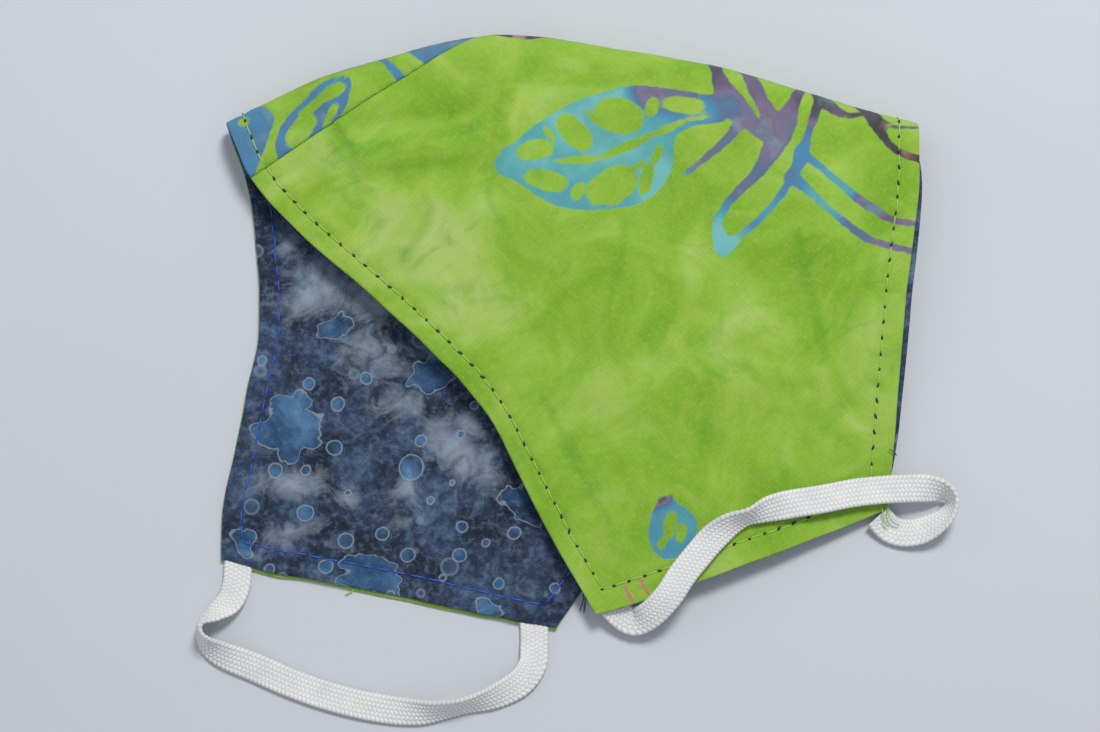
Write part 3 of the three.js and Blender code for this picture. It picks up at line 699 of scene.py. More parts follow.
def grid_faces(rows, columns, start=0):
    a = (np.arange(rows - 1)[:, None] * columns + np.arange(columns - 1)[None]).ravel() + start
    return np.stack([a, a + 1, a + columns + 1, a + columns], 1)


def point_values(mesh, name, values):
    layer = mesh.attributes.new(name, "FLOAT", "POINT")
    layer.data.foreach_set("value", np.asarray(values, np.float32).ravel())


def make_ply(name, side, face, material):
    """A closed sheet: the shown face, the hidden face, and the turned edges that join them."""
    v, girth = ply_grid(side)
    top, under, _ = ply_points(side, face, v, girth)
    home = -1 if face == "lining" and side < 0 else 1
    x, y = flat_place(v, girth, home)
    rows, columns = x.shape
    layer = rows * columns
    shown = grid_faces(rows, columns)
    hidden = grid_faces(rows, columns, layer)[:, ::-1]
    rim = []
    order = (
        np.arange(columns),
        np.arange(rows) * columns + columns - 1,
        (rows - 1) * columns + np.arange(columns)[::-1],
        (np.arange(rows) * columns)[::-1],
    )
    for line in order:
        rim.append(np.stack([line[1:], line[:-1], line[:-1] + layer, line[1:] + layer], 1))
    faces = np.concatenate([shown, hidden] + rim)
    if (side > 0) == (face == "outer"):
        faces = faces[:, ::-1]
    points = np.concatenate([top.reshape(-1, 3), under.reshape(-1, 3)])
    piece = new_mesh(name, points, faces.tolist(), material)
    mesh = piece.data
    flat = np.concatenate([np.stack([x, y], -1).reshape(-1, 2)] * 2) * MM
    if side < 0:
        flat = flat + np.array(OTHER_CUT)
    corner = np.empty(len(mesh.loops), np.int32)
    mesh.loops.foreach_get("vertex_index", corner)
    mesh.uv_layers.new(name="FlatCloth").data.foreach_set("uv", flat[corner].astype(np.float32).ravel())
    if face == "outer":
        charts = (FRONT_FILLS, FRONT_CELLS, FRONT_STROKES) if side > 0 else (
            BACK_FILLS, BACK_CELLS, BACK_STROKES)
        motif = print_field(*charts, LEAF_REPEATS, x, y)
        dye = dye_field(FRONT_DYE if side > 0 else BACK_DYE, x, y, 0.3)
        tone = blotch_field(x, y) if side > 0 else 0 * x
        vein = vein_field(x, y) if side > 0 else 0 * x - 4
        fields = {"motif": motif, "dye": dye, "blotch": tone, "vein": vein}
    else:
        fields = {"splash": splash_field(x, y), "spot": spot_field(x, y), "cloud": cloud_field(x, y)}
    for key, values in fields.items():
        point_values(mesh, key, np.concatenate([values.ravel()] * 2))
    return piece


def loop_frames(route, steps):
    """Evenly spaced centres of a flat loop, with its directions across and out of its face."""
    table = np.asarray(route, float)
    path = smooth_path(table, False, 24)
    length = np.concatenate([[0], np.cumsum(np.linalg.norm(np.diff(path[:, :3], axis=0), axis=1))])
    at = np.linspace(0, length[-1], steps)
    rows = np.stack([np.interp(at, length, path[:, k]) for k in range(4)], -1)
    centre = rows[:, :3]
    ahead = np.gradient(centre, axis=0)
    ahead /= np.linalg.norm(ahead, axis=-1, keepdims=True)
    across = np.cross(ahead, [0, 0, 1.0])
    across /= np.linalg.norm(across, axis=-1, keepdims=True)
    roll = np.radians(rows[:, 3])[:, None]
    face = np.cross(across, ahead)
    across, face = (across * np.cos(roll) + np.cross(ahead, across) * np.sin(roll),
                    face * np.cos(roll) + np.cross(ahead, face) * np.sin(roll))
    reach = ELASTIC_WIDTH / 2 * np.abs(across[:, 2]) + ELASTIC_THICK / 2 * np.abs(face[:, 2])
    centre[:, 2] = np.maximum(centre[:, 2], reach + 0.05)
    return at, centre - np.array([MIDDLE_X, MIDDLE_Y, 0]), across, face


def make_ear_loop(name, route, material):
    """Braided elastic: lengthwise cords, the crossings over them and small loops at the edges, with painted
    shade for its grooves kept as a point attribute.
    """
    steps, lanes = 640, 31
    at, centre, across, face = loop_frames(route, steps)
    lane = np.linspace(-1, 1, lanes)
    cord_phase = (lane + 1) / 2 * ELASTIC_CORDS
    cord_round = np.abs(np.sin(math.pi * cord_phase)) ** 0.6
    slant = np.where(np.floor(cord_phase).astype(int) % 2 == 0, 0.5, -0.5)
    rings, shades = [], []
    for sign in (1, -1):
        braid = np.cos(2 * math.pi * (at[:, None] / BRAID_PITCH + slant[None] * (cord_phase % 1)[None]))
        edge = np.clip((1 - np.abs(lane)) / 0.1, 0, 1) ** 0.5
        crown = ELASTIC_THICK / 2 - 0.2 + 0.13 * cord_round + 0.09 * braid * cord_round
        height = crown * (0.35 + 0.65 * edge)
        picot = 0.26 * np.abs(np.sin(math.pi * (at / BRAID_PITCH + 0.25 * sign)))[:, None]
        width = ELASTIC_WIDTH / 2 - 0.12 + picot * step_up(np.abs(lane), 0.8, 1.0)[None]
        ring = (centre[:, None] + across[:, None] * (lane[None] * width)[..., None]
                + face[:, None] * (sign * height)[..., None])
        rings.append(ring if sign > 0 else ring[:, ::-1])
        # painted shade: low in the gaps of the braid and between the cords, stored as the braid attribute
        shade = (0.5 + 0.5 * braid) * (0.35 + 0.65 * cord_round[None])
        shades.append(shade if sign > 0 else shade[:, ::-1])
    points = np.concatenate(rings, 1)
    per = points.shape[1]
    a = (np.arange(steps - 1)[:, None] * per + np.arange(per)[None]).ravel()
    b = (np.arange(steps - 1)[:, None] * per + (np.arange(per)[None] + 1) % per).ravel()
    faces = np.stack([a, b, b + per, a + per], 1).tolist()
    faces.append(list(range(per))[::-1])
    faces.append(list(range((steps - 1) * per, steps * per)))
    mesh_points = points.reshape(-1, 3)
    piece = new_mesh(name, mesh_points, faces, material)
    point_values(piece.data, "braid", np.concatenate(shades, 1))
    path = (centre[::6] * MM).tolist() + [(centre[-1] * MM).tolist()]
    length = float(at[-1]) * MM
    return piece, path, length


def thread_mesh(name, runs, radius, material, sides=6):
    """Many short threads joined as one piece: each run is a list of points in millimetres."""
    points, faces = [], []
    for run in runs:
        run = np.array(run, float)
        run[:, 2] = np.maximum(run[:, 2], radius + 0.01)
        ahead = np.gradient(run, axis=0)
        ahead /= np.linalg.norm(ahead, axis=-1, keepdims=True) + 1e-9
        across = np.cross(ahead, [0.31, 0.17, 0.93])
        across /= np.linalg.norm(across, axis=-1, keepdims=True) + 1e-9
        over = np.cross(ahead, across)
        count = len(run)
        taper = np.sqrt(np.clip(1 - (np.linspace(-1, 1, count) * 0.97) ** 6, 0.05, 1))
        turn = 2 * math.pi * np.arange(sides) / sides
        ring = (run[:, None] + (across[:, None] * np.cos(turn)[None, :, None]
                + over[:, None] * np.sin(turn)[None, :, None]) * (radius * taper)[:, None, None])
        start = sum(len(p) for p in points)
        points.append(ring.reshape(-1, 3))
        for i in range(count - 1):
            for j in range(sides):
                a, b = start + i * sides + j, start + i * sides + (j + 1) % sides
                faces.append([a, b, b + sides, a + sides])
        faces.append([start + j for j in range(sides)][::-1])
        faces.append([start + (count - 1) * sides + j for j in range(sides)])
    return new_mesh(name, np.concatenate(points), faces, material)


# ---------------------------------------------------------------------------------------------
# Stitching
# ---------------------------------------------------------------------------------------------


def stitch_path(side, edge, samples=1500):
    """One topstitched line on the wall, as v, girth and the place along it that counts stitches."""
    place, left = across_spacing(side, 0.0)
    _, right = across_spacing(side, 1.0)
    last = 1 - STITCH_INSET["ear"] / 120
    if edge == "ear":
        v_low = STITCH_INSET["left"] / np.interp(last, place, left)
        v_high = 1 - STITCH_INSET["right"] / np.interp(last, place, right)
        v = np.linspace(v_low, v_high, samples)
        return v, ear_girth(side, v) - side * STITCH_INSET["ear"], v * EAR_LENGTH
    rows = np.linspace(0, last, samples)
    spacing = np.interp(rows, place, left if edge == "left" else right)
    v = STITCH_INSET[edge] / spacing if edge == "left" else 1 - STITCH_INSET[edge] / spacing
    seam, ear = section("seam", v), ear_girth(side, v)
    girth = seam + (ear - seam) * rows
    return v, girth, girth


def stitch_runs(face):
    """Every stitch of the topstitching on one face, and the knots that show at the holes."""
    runs, holes = [], []
    for side in (1, -1):
        for edge in ("left", "right", "ear"):
            v, girth, along = stitch_path(side, edge)
            line, _, out = ply_points(side, face, v, girth)
            if along[-1] < along[0]:
                line, out, along = line[::-1], out[::-1], along[::-1]
            first, last = math.floor(along[0] / STITCH_PITCH), math.floor(along[-1] / STITCH_PITCH)
            for k in range(first, last + 1):
                at = (k + np.linspace(0.08, 0.92, 8) + RNG.normal(0, 0.03)) * STITCH_PITCH
                run = np.stack([np.interp(at, along, line[:, c]) for c in range(3)], -1)
                if np.linalg.norm(run[-1] - run[0]) < 0.9:
                    continue
                up = np.stack([np.interp(at, along, out[:, c]) for c in range(3)], -1)
                ahead = (run[-1] - run[0]) / (np.linalg.norm(run[-1] - run[0]) + 1e-9)
                sideways = np.cross(up[3], ahead)
                arch = np.sin(np.linspace(0, math.pi, 8)) ** 0.6 * 0.16 - 0.04
                runs.append(run + up * arch[:, None] + sideways * RNG.normal(0, 0.08))
                reach = RNG.uniform(0.3, 0.62)
                slant = ahead + sideways * RNG.normal(0, 0.35)
                at_hole = run[0] - ahead * 0.3 + up[0] * 0.12
                holes.append([at_hole - slant * reach, at_hole - slant * reach * 0.3 + up[0] * 0.08,
                              at_hole + slant * reach * 0.3 + up[0] * 0.08, at_hole + slant * reach])
    return runs, holes


# ---------------------------------------------------------------------------------------------
# Materials
# ---------------------------------------------------------------------------------------------


def colour(code):
    """sRGB hex to linear RGBA."""
    parts = [int(code[i:i + 2], 16) / 255 for i in (1, 3, 5)]
    return [p / 12.92 if p <= 0.04045 else ((p + 0.055) / 1.055) ** 2.4 for p in parts] + [1.0]


def add(tree, kind, inputs=(), stops=(), **settings):
    """Adds a node with its settings, its ramp's stops, and its input values or links."""
    node = tree.nodes.new(kind)
    for key, value in settings.items():
        setattr(node, key, value)
    for i, (place, code) in enumerate(stops):
        spots = node.color_ramp.elements
        spot = spots[i] if i < 2 else spots.new(place)
        spot.position = place
        spot.color = colour(code) if isinstance(code, str) else [code, code, code, 1]
    for key, value in dict(inputs).items():
        if isinstance(value, bpy.types.NodeSocket):
            tree.links.new(value, node.inputs[key])
        else:
            node.inputs[key].default_value = value
    return node


def start_material(name):
    material = bpy.data.materials.new(name)
    material.use_nodes = True
    tree = material.node_tree
    shader = tree.nodes["Principled BSDF"]
    return material, tree, shader


def woven_height(tree, flat, pitch_mm, turn):
    """Plain weave: warp and weft pass over and under each other, one pitch apart."""
    turned = add(tree, "ShaderNodeVectorRotate", {"Vector": flat, "Angle": math.radians(turn)},
                 rotation_type="Z_AXIS").outputs[0]
    jitter = add(tree, "ShaderNodeTexNoise", {"Vector": turned, "Scale": 420.0, "Detail": 1.0})
    spread = add(tree, "ShaderNodeVectorMath", {0: jitter.outputs["Color"], 1: (0.00035,) * 3},
                 operation="MULTIPLY").outputs[0]
    turned = add(tree, "ShaderNodeVectorMath", {0: turned, 1: spread}, operation="ADD").outputs[0]
    parts = add(tree, "ShaderNodeSeparateXYZ", {0: turned})
    waves = []
    for axis in (0, 1):
        phase = add(tree, "ShaderNodeMath", {0: parts.outputs[axis], 1: math.pi / (pitch_mm * MM)},
                    operation="MULTIPLY").outputs[0]
        waves.append(add(tree, "ShaderNodeMath", {0: phase}, operation="SINE").outputs[0])
    return add(tree, "ShaderNodeMath", {0: waves[0], 1: waves[1]}, operation="MULTIPLY").outputs[0]


def cotton_weave_with_painted_shade(tree, shader, flat, base):
    """The woven ground that both prints share: thread relief, soft fuzz, a dry surface, and painted shade and
    highlight from the thread relief multiplied into the colour.
    """
    weave = woven_height(tree, flat, WEAVE_PITCH, 24)
    slub = add(tree, "ShaderNodeTexNoise", {"Vector": flat, "Scale": 1500.0, "Detail": 2.0})
    relief = add(tree, "ShaderNodeMath", {0: slub.outputs[0], 1: 0.9, 2: weave}, operation="MULTIPLY_ADD")
    bump = add(tree, "ShaderNodeBump", {"Height": relief.outputs[0], "Strength": 0.5, "Distance": 0.00008})
    tree.links.new(bump.outputs[0], shader.inputs["Normal"])
    # painted shade between the threads and painted highlight on their crowns, multiplied into the base colour
    shade = add(tree, "ShaderNodeMapRange", {0: relief.outputs[0], 1: -0.9, 2: 1.8, 3: 0.91, 4: 1.08})
    shade_grey = add(tree, "ShaderNodeCombineColor", {0: shade.outputs[0], 1: shade.outputs[0],
                                                      2: shade.outputs[0]}).outputs[0]
    surface = add(tree, "ShaderNodeMix", {0: 1.0, 6: base, 7: shade_grey},
                  data_type="RGBA", blend_type="MULTIPLY").outputs[2]
    tree.links.new(surface, shader.inputs["Base Color"])
    shader.inputs["Roughness"].default_value = 0.86
    shader.inputs["IOR"].default_value = 1.5
    shader.inputs["Specular IOR Level"].default_value = 0.22
    shader.inputs["Sheen Weight"].default_value = 0.12
    shader.inputs["Sheen Roughness"].default_value = 0.5


def lime_batik_cotton():
    """Quilting cotton, wax-resist dyed twice: cloudy lime ground under a turquoise and purple
    print, so the eye sees soft blotches inside crisp edges."""
    material, tree, shader = start_material("lime_batik_cotton")
    flat = add(tree, "ShaderNodeUVMap", uv_map="FlatCloth").outputs[0]
    clouds = add(tree, "ShaderNodeTexNoise", {"Vector": flat, "Scale": 42.0, "Detail": 5.0,
                                              "Roughness": 0.6, "Distortion": 1.0})
    blotch = add(tree, "ShaderNodeAttribute", attribute_name="blotch").outputs["Fac"]
    place = add(tree, "ShaderNodeMath", {0: blotch, 1: 0.17, 2: clouds.outputs[0]}, operation="MULTIPLY_ADD")
    ground = add(tree, "ShaderNodeValToRGB", {0: place.outputs[0]},
                 stops=[(0.28, "#73A526"), (0.42, "#83B130"), (0.54, "#90BB40"), (0.64, "#9EC356"),
                        (0.76, "#AEC86E")])
    warm = add(tree, "ShaderNodeTexNoise", {"Vector": flat, "Scale": 60.0, "Detail": 3.0, "Distortion": 1.5})
    warm_share = add(tree, "ShaderNodeMapRange", {0: warm.outputs[0], 1: 0.54, 2: 0.76, 3: 0.0, 4: 0.5})
    tone = add(tree, "ShaderNodeMix",
               {0: warm_share.outputs[0], 6: ground.outputs[0], 7: colour("#AFC65A")},
               data_type="RGBA").outputs[2]
    smudge = add(tree, "ShaderNodeTexNoise", {"Vector": flat, "Scale": 85.0, "Detail": 6.0,
                                              "Roughness": 0.62, "Distortion": 1.1})
    smudge_share = add(tree, "ShaderNodeMapRange", {0: smudge.outputs[0], 1: 0.53, 2: 0.76, 3: 0.0, 4: 0.7})
    tone = add(tree, "ShaderNodeMix", {0: smudge_share.outputs[0], 6: tone, 7: colour("#6CA52E")},
               data_type="RGBA").outputs[2]
    vein = add(tree, "ShaderNodeAttribute", attribute_name="vein").outputs["Fac"]
    ragged = add(tree, "ShaderNodeMath", {0: smudge.outputs[0], 1: 5.0, 2: vein}, operation="MULTIPLY_ADD")
    vein_share = add(tree, "ShaderNodeMapRange", {0: ragged.outputs[0], 1: 1.2, 2: 3.4, 3: 0.0, 4: 0.42})
    tone = add(tree, "ShaderNodeMix", {0: vein_share.outputs[0], 6: tone, 7: colour("#5C9A2A")},
               data_type="RGBA").outputs[2]
    crackle = add(tree, "ShaderNodeTexNoise", {"Vector": flat, "Scale": 34.0, "Detail": 2.0,
                                               "Distortion": 2.6}, noise_type="RIDGED_MULTIFRACTAL")
    crackle_share = add(tree, "ShaderNodeMapRange", {0: crackle.outputs[0], 1: 0.86, 2: 1.05, 3: 0.0, 4: 0.4})
    tone = add(tree, "ShaderNodeMix", {0: crackle_share.outputs[0], 6: tone, 7: colour("#5F9A2A")},
               data_type="RGBA").outputs[2]
    speck = add(tree, "ShaderNodeTexNoise", {"Vector": flat, "Scale": 900.0, "Detail": 2.0})
    speck_share = add(tree, "ShaderNodeMapRange", {0: speck.outputs[0], 1: 0.5, 2: 0.75, 3: 0.0, 4: 0.3})
    tone = add(tree, "ShaderNodeMix", {0: speck_share.outputs[0], 6: tone, 7: colour("#A9C46A")},
               data_type="RGBA").outputs[2]

    # the print: dye that crept a little under the wax, so its edge is soft by a thread or two
    motif = add(tree, "ShaderNodeAttribute", attribute_name="motif").outputs["Fac"]
    dye = add(tree, "ShaderNodeAttribute", attribute_name="dye").outputs["Fac"]
    creep = add(tree, "ShaderNodeTexNoise", {"Vector": flat, "Scale": 420.0, "Detail": 3.0})
    edge = add(tree, "ShaderNodeMath", {0: creep.outputs[0], 1: 0.9, 2: motif}, operation="MULTIPLY_ADD")
    printed = add(tree, "ShaderNodeMapRange", {0: edge.outputs[0], 1: 0.25, 2: 0.65, 3: 0.0, 4: 0.93})
    drift = add(tree, "ShaderNodeTexNoise", {"Vector": flat, "Scale": 120.0, "Detail": 3.0})
    tone_place = add(tree, "ShaderNodeMath", {0: drift.outputs[0], 1: 0.42, 2: dye}, operation="MULTIPLY_ADD")
    tone_place = add(tree, "ShaderNodeMath", {0: tone_place.outputs[0], 1: 0.19}, operation="SUBTRACT")
    inks = add(tree, "ShaderNodeValToRGB", {0: tone_place.outputs[0]},
               stops=[(0.0, "#74BCC0"), (0.12, "#55A6AC"), (0.3, "#4583B4"), (0.45, "#566A92"),
                      (0.6, "#7A6A92"), (0.74, "#55456C"), (0.88, "#362A48"), (0.97, "#C07A72")])
    bare = add(tree, "ShaderNodeMapRange", {0: drift.outputs[0], 1: 0.58, 2: 0.75, 3: 0.0, 4: 0.4})
    ink = add(tree, "ShaderNodeMix", {0: bare.outputs[0], 6: inks.outputs[0], 7: colour("#8CC4CE")},
              data_type="RGBA").outputs[2]
    base = add(tree, "ShaderNodeMix", {0: printed.outputs[0], 6: tone, 7: ink}, data_type="RGBA").outputs[2]
    cotton_weave_with_painted_shade(tree, shader, flat, base)
    return material


def navy_batik_cotton():
    """Quilting cotton, wax-resist dyed navy over grey-blue: dark speckled ground, pale smears,
    and blue splashes that each keep a thin light rim where the wax cracked."""
    material, tree, shader = start_material("navy_batik_cotton")
    flat = add(tree, "ShaderNodeUVMap", uv_map="FlatCloth").outputs[0]
    smear = add(tree, "ShaderNodeTexNoise", {"Vector": flat, "Scale": 75.0, "Detail": 5.0,
                                             "Roughness": 0.62, "Distortion": 1.0})
    ground = add(tree, "ShaderNodeValToRGB", {0: smear.outputs[0]},
                 stops=[(0.28, "#171D2A"), (0.42, "#232E42"), (0.54, "#33445E"), (0.64, "#4C627E"),
                        (0.76, "#73889C")])
    speckle = add(tree, "ShaderNodeTexNoise", {"Vector": flat, "Scale": 520.0, "Detail": 5.0,
                                               "Roughness": 0.75})
    speckle_share = add(tree, "ShaderNodeMapRange", {0: speckle.outputs[0], 1: 0.5, 2: 0.7, 3: 0.0, 4: 0.75})
    tone = add(tree, "ShaderNodeMix",
               {0: speckle_share.outputs[0], 6: ground.outputs[0], 7: colour("#5F7690")},
               data_type="RGBA").outputs[2]
    pit = add(tree, "ShaderNodeMapRange", {0: speckle.outputs[0], 1: 0.5, 2: 0.32, 3: 0.0, 4: 0.6})
    tone = add(tree, "ShaderNodeMix", {0: pit.outputs[0], 6: tone, 7: colour("#141A26")},
               data_type="RGBA").outputs[2]

    cloud = add(tree, "ShaderNodeAttribute", attribute_name="cloud").outputs["Fac"]
    wisp = add(tree, "ShaderNodeTexNoise", {"Vector": flat, "Scale": 150.0, "Detail": 6.0,
                                            "Roughness": 0.62, "Distortion": 1.4})
    pale = add(tree, "ShaderNodeMath", {0: wisp.outputs[0], 1: 1.7, 2: cloud}, operation="MULTIPLY_ADD")
    pale_share = add(tree, "ShaderNodeMapRange", {0: pale.outputs[0], 1: 1.0, 2: 1.85, 3: 0.0, 4: 0.9})
    tone = add(tree, "ShaderNodeMix", {0: pale_share.outputs[0], 6: tone, 7: colour("#94A4B4")},
               data_type="RGBA").outputs[2]

    rings = add(tree, "ShaderNodeTexVoronoi", {"Vector": flat, "Scale": 130.0, "Randomness": 0.95})
    chosen = add(tree, "ShaderNodeSeparateColor", {0: rings.outputs["Color"]})
    few = add(tree, "ShaderNodeMath", {0: chosen.outputs[0], 1: 0.6}, operation="GREATER_THAN")
    size = add(tree, "ShaderNodeMapRange", {0: chosen.outputs[1], 3: 0.10, 4: 0.26})
    off = add(tree, "ShaderNodeMath", {0: rings.outputs["Distance"], 1: size.outputs[0]},
              operation="SUBTRACT")
    off_size = add(tree, "ShaderNodeMath", {0: off.outputs[0]}, operation="ABSOLUTE")
    ring = add(tree, "ShaderNodeMapRange", {0: off_size.outputs[0], 1: 0.055, 2: 0.015, 3: 0.0, 4: 0.5})
    ring_share = add(tree, "ShaderNodeMath", {0: ring.outputs[0], 1: few.outputs[0]}, operation="MULTIPLY")
    within = add(tree, "ShaderNodeMapRange", {0: off.outputs[0], 1: 0.0, 2: -0.06, 3: 0.0, 4: 0.55})
    within_share = add(tree, "ShaderNodeMath", {0: within.outputs[0], 1: few.outputs[0]},
                       operation="MULTIPLY")
    tone = add(tree, "ShaderNodeMix", {0: within_share.outputs[0], 6: tone, 7: colour("#42597A")},
               data_type="RGBA").outputs[2]
    tone = add(tree, "ShaderNodeMix", {0: ring_share.outputs[0], 6: tone, 7: colour("#7F93A6")},
               data_type="RGBA").outputs[2]

    wobble = add(tree, "ShaderNodeTexNoise", {"Vector": flat, "Scale": 170.0, "Detail": 3.0})
    for name, creep in (("splash", 4.4), ("spot", 1.5)):
        field = add(tree, "ShaderNodeAttribute", attribute_name=name).outputs["Fac"]
        shifted = add(tree, "ShaderNodeMath", {0: wobble.outputs[0], 1: creep, 2: field},
                      operation="MULTIPLY_ADD")
        edge = add(tree, "ShaderNodeMath", {0: shifted.outputs[0], 1: creep / 2}, operation="SUBTRACT")
        fill = add(tree, "ShaderNodeMapRange", {0: edge.outputs[0], 1: -0.1, 2: 0.25, 3: 0.0, 4: 0.86})
        patch = add(tree, "ShaderNodeValToRGB", {0: smear.outputs[0]},
                    stops=[(0.34, "#1F3452"), (0.48, "#34587E"), (0.62, "#527EA6"), (0.74, "#6C94B6")])
        streak = add(tree, "ShaderNodeMix",
                     {0: speckle_share.outputs[0], 6: patch.outputs[0], 7: colour("#4C7298")},
                     data_type="RGBA").outputs[2]
        tone = add(tree, "ShaderNodeMix", {0: fill.outputs[0], 6: tone, 7: streak},
                   data_type="RGBA").outputs[2]
        around = add(tree, "ShaderNodeMath", {0: edge.outputs[0]}, operation="ABSOLUTE")
        rim = add(tree, "ShaderNodeMapRange", {0: around.outputs[0], 1: 0.26, 2: 0.06, 3: 0.0, 4: 0.62})
        tone = add(tree, "ShaderNodeMix", {0: rim.outputs[0], 6: tone, 7: colour("#93A4AE")},
                   data_type="RGBA").outputs[2]
    cotton_weave_with_painted_shade(tree, shader, flat, tone)
    return material


def braided_elastic():
    """White polyester braid over rubber cores: matt, slightly furry and a little translucent."""
    material, tree, shader = start_material("braided_white_elastic")
    place = add(tree, "ShaderNodeTexCoord").outputs["Object"]
    fuzz = add(tree, "ShaderNodeTexNoise", {"Vector": place, "Scale": 2600.0, "Detail": 2.0})
    soil = add(tree, "ShaderNodeTexNoise", {"Vector": place, "Scale": 220.0, "Detail": 3.0})
    tint = add(tree, "ShaderNodeValToRGB", {0: soil.outputs[0]}, stops=[(0.3, "#E3E4E4"), (0.7, "#F1F1EF")])
    bump = add(tree, "ShaderNodeBump", {"Height": fuzz.outputs[0], "Strength": 0.4, "Distance": 0.00012})
    # the braid attribute is painted shade: the colour turns grey in the braid's gaps and grooves
    raised = add(tree, "ShaderNodeAttribute", attribute_name="braid").outputs["Fac"]
    painted_groove_shade = add(tree, "ShaderNodeMapRange", {0: raised, 1: 0.55, 2: 0.0, 3: 0.0, 4: 0.5})
    surface = add(tree, "ShaderNodeMix",
                  {0: painted_groove_shade.outputs[0], 6: tint.outputs[0], 7: colour("#A9AFB6")},
                  data_type="RGBA").outputs[2]
    tree.links.new(surface, shader.inputs["Base Color"])
    tree.links.new(bump.outputs[0], shader.inputs["Normal"])
    shader.inputs["Roughness"].default_value = 0.8
    shader.inputs["IOR"].default_value = 1.5
    shader.inputs["Specular IOR Level"].default_value = 0.25
    shader.inputs["Sheen Weight"].default_value = 0.2
    return material


def sewing_thread(name, code, gloss):
    """Spun polyester thread: a twisted yarn with a faint silky light along it."""
    material, tree, shader = start_material(name)
    place = add(tree, "ShaderNodeTexCoord").outputs["Object"]
    twist = add(tree, "ShaderNodeTexNoise", {"Vector": place, "Scale": 3500.0, "Detail": 1.0})
    light, dark = colour(code), [0.62 * c for c in colour(code)[:3]] + [1.0]
    surface = add(tree, "ShaderNodeMix", {0: twist.outputs[0], 6: dark, 7: light},
                  data_type="RGBA").outputs[2]
    tree.links.new(surface, shader.inputs["Base Color"])
    shader.inputs["Roughness"].default_value = gloss
    shader.inputs["IOR"].default_value = 1.5
    return material


def studio_paper():
    """Matt white board: an even, slightly cool grey-white."""
    material, tree, shader = start_material("matt_white_board")
    place = add(tree, "ShaderNodeTexCoord").outputs["Object"]
    grain = add(tree, "ShaderNodeTexNoise", {"Vector": place, "Scale": 9.0, "Detail": 2.0})
    tint = add(tree, "ShaderNodeValToRGB", {0: grain.outputs[0]}, stops=[(0.3, "#C9CDD5"), (0.7, "#CBCFD7")])
    tree.links.new(tint.outputs[0], shader.inputs["Base Color"])
    shader.inputs["Roughness"].default_value = 0.75
    return material


# ---------------------------------------------------------------------------------------------
# Camera and light
# ---------------------------------------------------------------------------------------------

CAMERA_TILT = 80.0  # degrees above the table
CAMERA_AWAY = 0.6
CAMERA_LENS = 83.6
LOOKED_AT = Vector((-0.0052, -0.0081, 0.0))

camera_data = bpy.data.cameras.new("studio_camera")
camera_data.lens = CAMERA_LENS
camera_data.clip_start = 0.01
camera = bpy.data.objects.new("studio_camera", camera_data)
bpy.context.scene.collection.objects.link(camera)
tilt = math.radians(CAMERA_TILT)
camera.location = LOOKED_AT + CAMERA_AWAY * Vector((0, -math.cos(tilt), math.sin(tilt)))
camera.rotation_euler = (math.pi / 2 - tilt, 0, 0)
bpy.context.scene.camera = camera

# name, place, size, power, colour: each looks at the middle of the table
LIGHTS = [
    ("softbox_overhead", (0.24, 0.54, 0.96), 0.3, 8.8, "#FFFDF8"),
    ("fill_front", (-0.2, -0.9, 0.9), 1.0, 1.5, "#F2F6FF"),
    ("fill_left", (-1.1, 0.3, 0.7), 0.8, 1.0, "#FFFFFF"),
]
for light_name, place, size, power, tint in LIGHTS:
    lamp = bpy.data.lights.new(light_name, "AREA")
    lamp.size = size
    lamp.energy = power
    lamp.color = colour(tint)[:3]
    light = bpy.data.objects.new(light_name, lamp)
    light.location = place
    light.rotation_euler = (-Vector(place)).to_track_quat("-Z", "Y").to_euler()
    bpy.context.scene.collection.objects.link(light)

world = bpy.data.worlds.new("studio_room")
world.use_nodes = True
room = world.node_tree.nodes["Background"]
room.inputs["Color"].default_value = colour("#E9EDF5")
room.inputs["Strength"].default_value = 0.4
bpy.context.scene.world = world
bpy.context.scene.view_settings.view_transform = "Standard"

# ---------------------------------------------------------------------------------------------
# Making the pieces
# ---------------------------------------------------------------------------------------------

white_elastic = braided_elastic()
front_loop, front_path, front_length = make_ear_loop("ear_loop_front_braid", FRONT_LOOP, white_elastic)
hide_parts("ear_loop_front")
back_loop, back_path, back_length = make_ear_loop("ear_loop_back_braid", BACK_LOOP, white_elastic)
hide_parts("ear_loop_back")

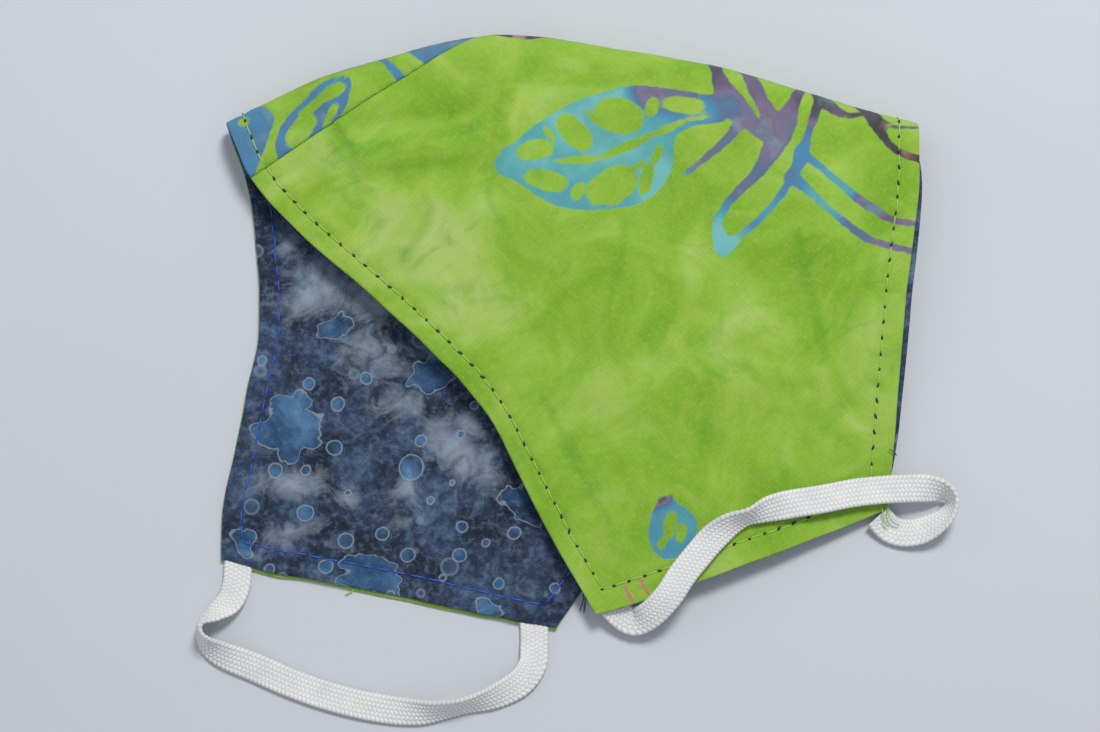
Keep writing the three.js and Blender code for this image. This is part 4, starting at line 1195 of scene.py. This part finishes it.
lime = lime_batik_cotton()
navy = navy_batik_cotton()
PLIES = [
    ("outer_front_cloth", 1, "outer", lime, "outer_cotton", "outer_front_half"),
    ("outer_back_cloth", -1, "outer", lime, "outer_cotton", "outer_back_half"),
    ("lining_front_cloth", 1, "lining", navy, "lining_cotton", "lining_front_half"),
    ("lining_back_cloth", -1, "lining", navy, "lining_cotton", "lining_back_half"),
]
for piece_name, side, face, material, slot_name, node in PLIES:
    ply = make_ply(piece_name, side, face, material)
    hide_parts(node)

green_thread = sewing_thread("lime_sewing_thread", "#B6DB62", 0.5)
navy_thread = sewing_thread("navy_bobbin_thread", "#16304A", 0.6)
blue_thread = sewing_thread("royal_blue_sewing_thread", "#2C5CD0", 0.45)
outer_runs, outer_holes = stitch_runs("outer")
thread_mesh("topstitch_lime", outer_runs, THREAD_RADIUS, green_thread)
thread_mesh("bobbin_spots_navy", outer_holes, KNOT_RADIUS, navy_thread)
lining_runs, _ = stitch_runs("lining")
thread_mesh("topstitch_blue", lining_runs, LINING_THREAD_RADIUS, blue_thread)

THREAD_ENDS = [
    [(-49.6, -57.6, 0.9), (-50.2, -59.4, 0.8), (-50.9, -61.0, 0.4), (-52.6, -61.9, 0.4)],
    [(77.4, 13.6, 6.4), (78.8, 13.2, 7.2), (79.0, 12.0, 6.6), (77.8, 11.6, 6.9), (78.6, 10.2, 6.2)],
    [(71.2, -41.2, 3.6), (71.8, -43.4, 3.7), (72.2, -45.4, 3.2), (73.0, -46.4, 2.4)],
    [(73.0, -41.4, 3.6), (73.0, -43.6, 3.6), (74.0, -45.2, 3.0), (75.8, -46.0, 2.2)],
]
SEAM_ENDS = [
    [(2.6, -61.2, 1.2), (2.4, -63.4, 0.5), (1.6, -65.6, 0.4)],
    [(3.0, -61.6, 1.2), (2.9, -63.8, 0.5), (2.6, -66.0, 0.4)],
    [(73.2, -28.6, 5.6), (74.4, -29.2, 5.4), (75.0, -30.2, 5.2)],
]
thread_mesh("thread_ends_lime", [smooth_path(end, False, 6) for end in THREAD_ENDS], 0.16,
            green_thread)
thread_mesh("thread_ends_navy", [smooth_path(end, False, 6) for end in SEAM_ENDS], 0.13,
            navy_thread)

table = bpy.data.meshes.new("table_top")
corners = [(x, y, -0.0001) for x, y in ((-3, -3), (3, -3), (3, 3), (-3, 3))]
table.from_pydata(corners, [], [(0, 1, 2, 3)])
table.materials.append(studio_paper())
table_top = bpy.data.objects.new("table_top", table)
bpy.context.scene.collection.objects.link(table_top)
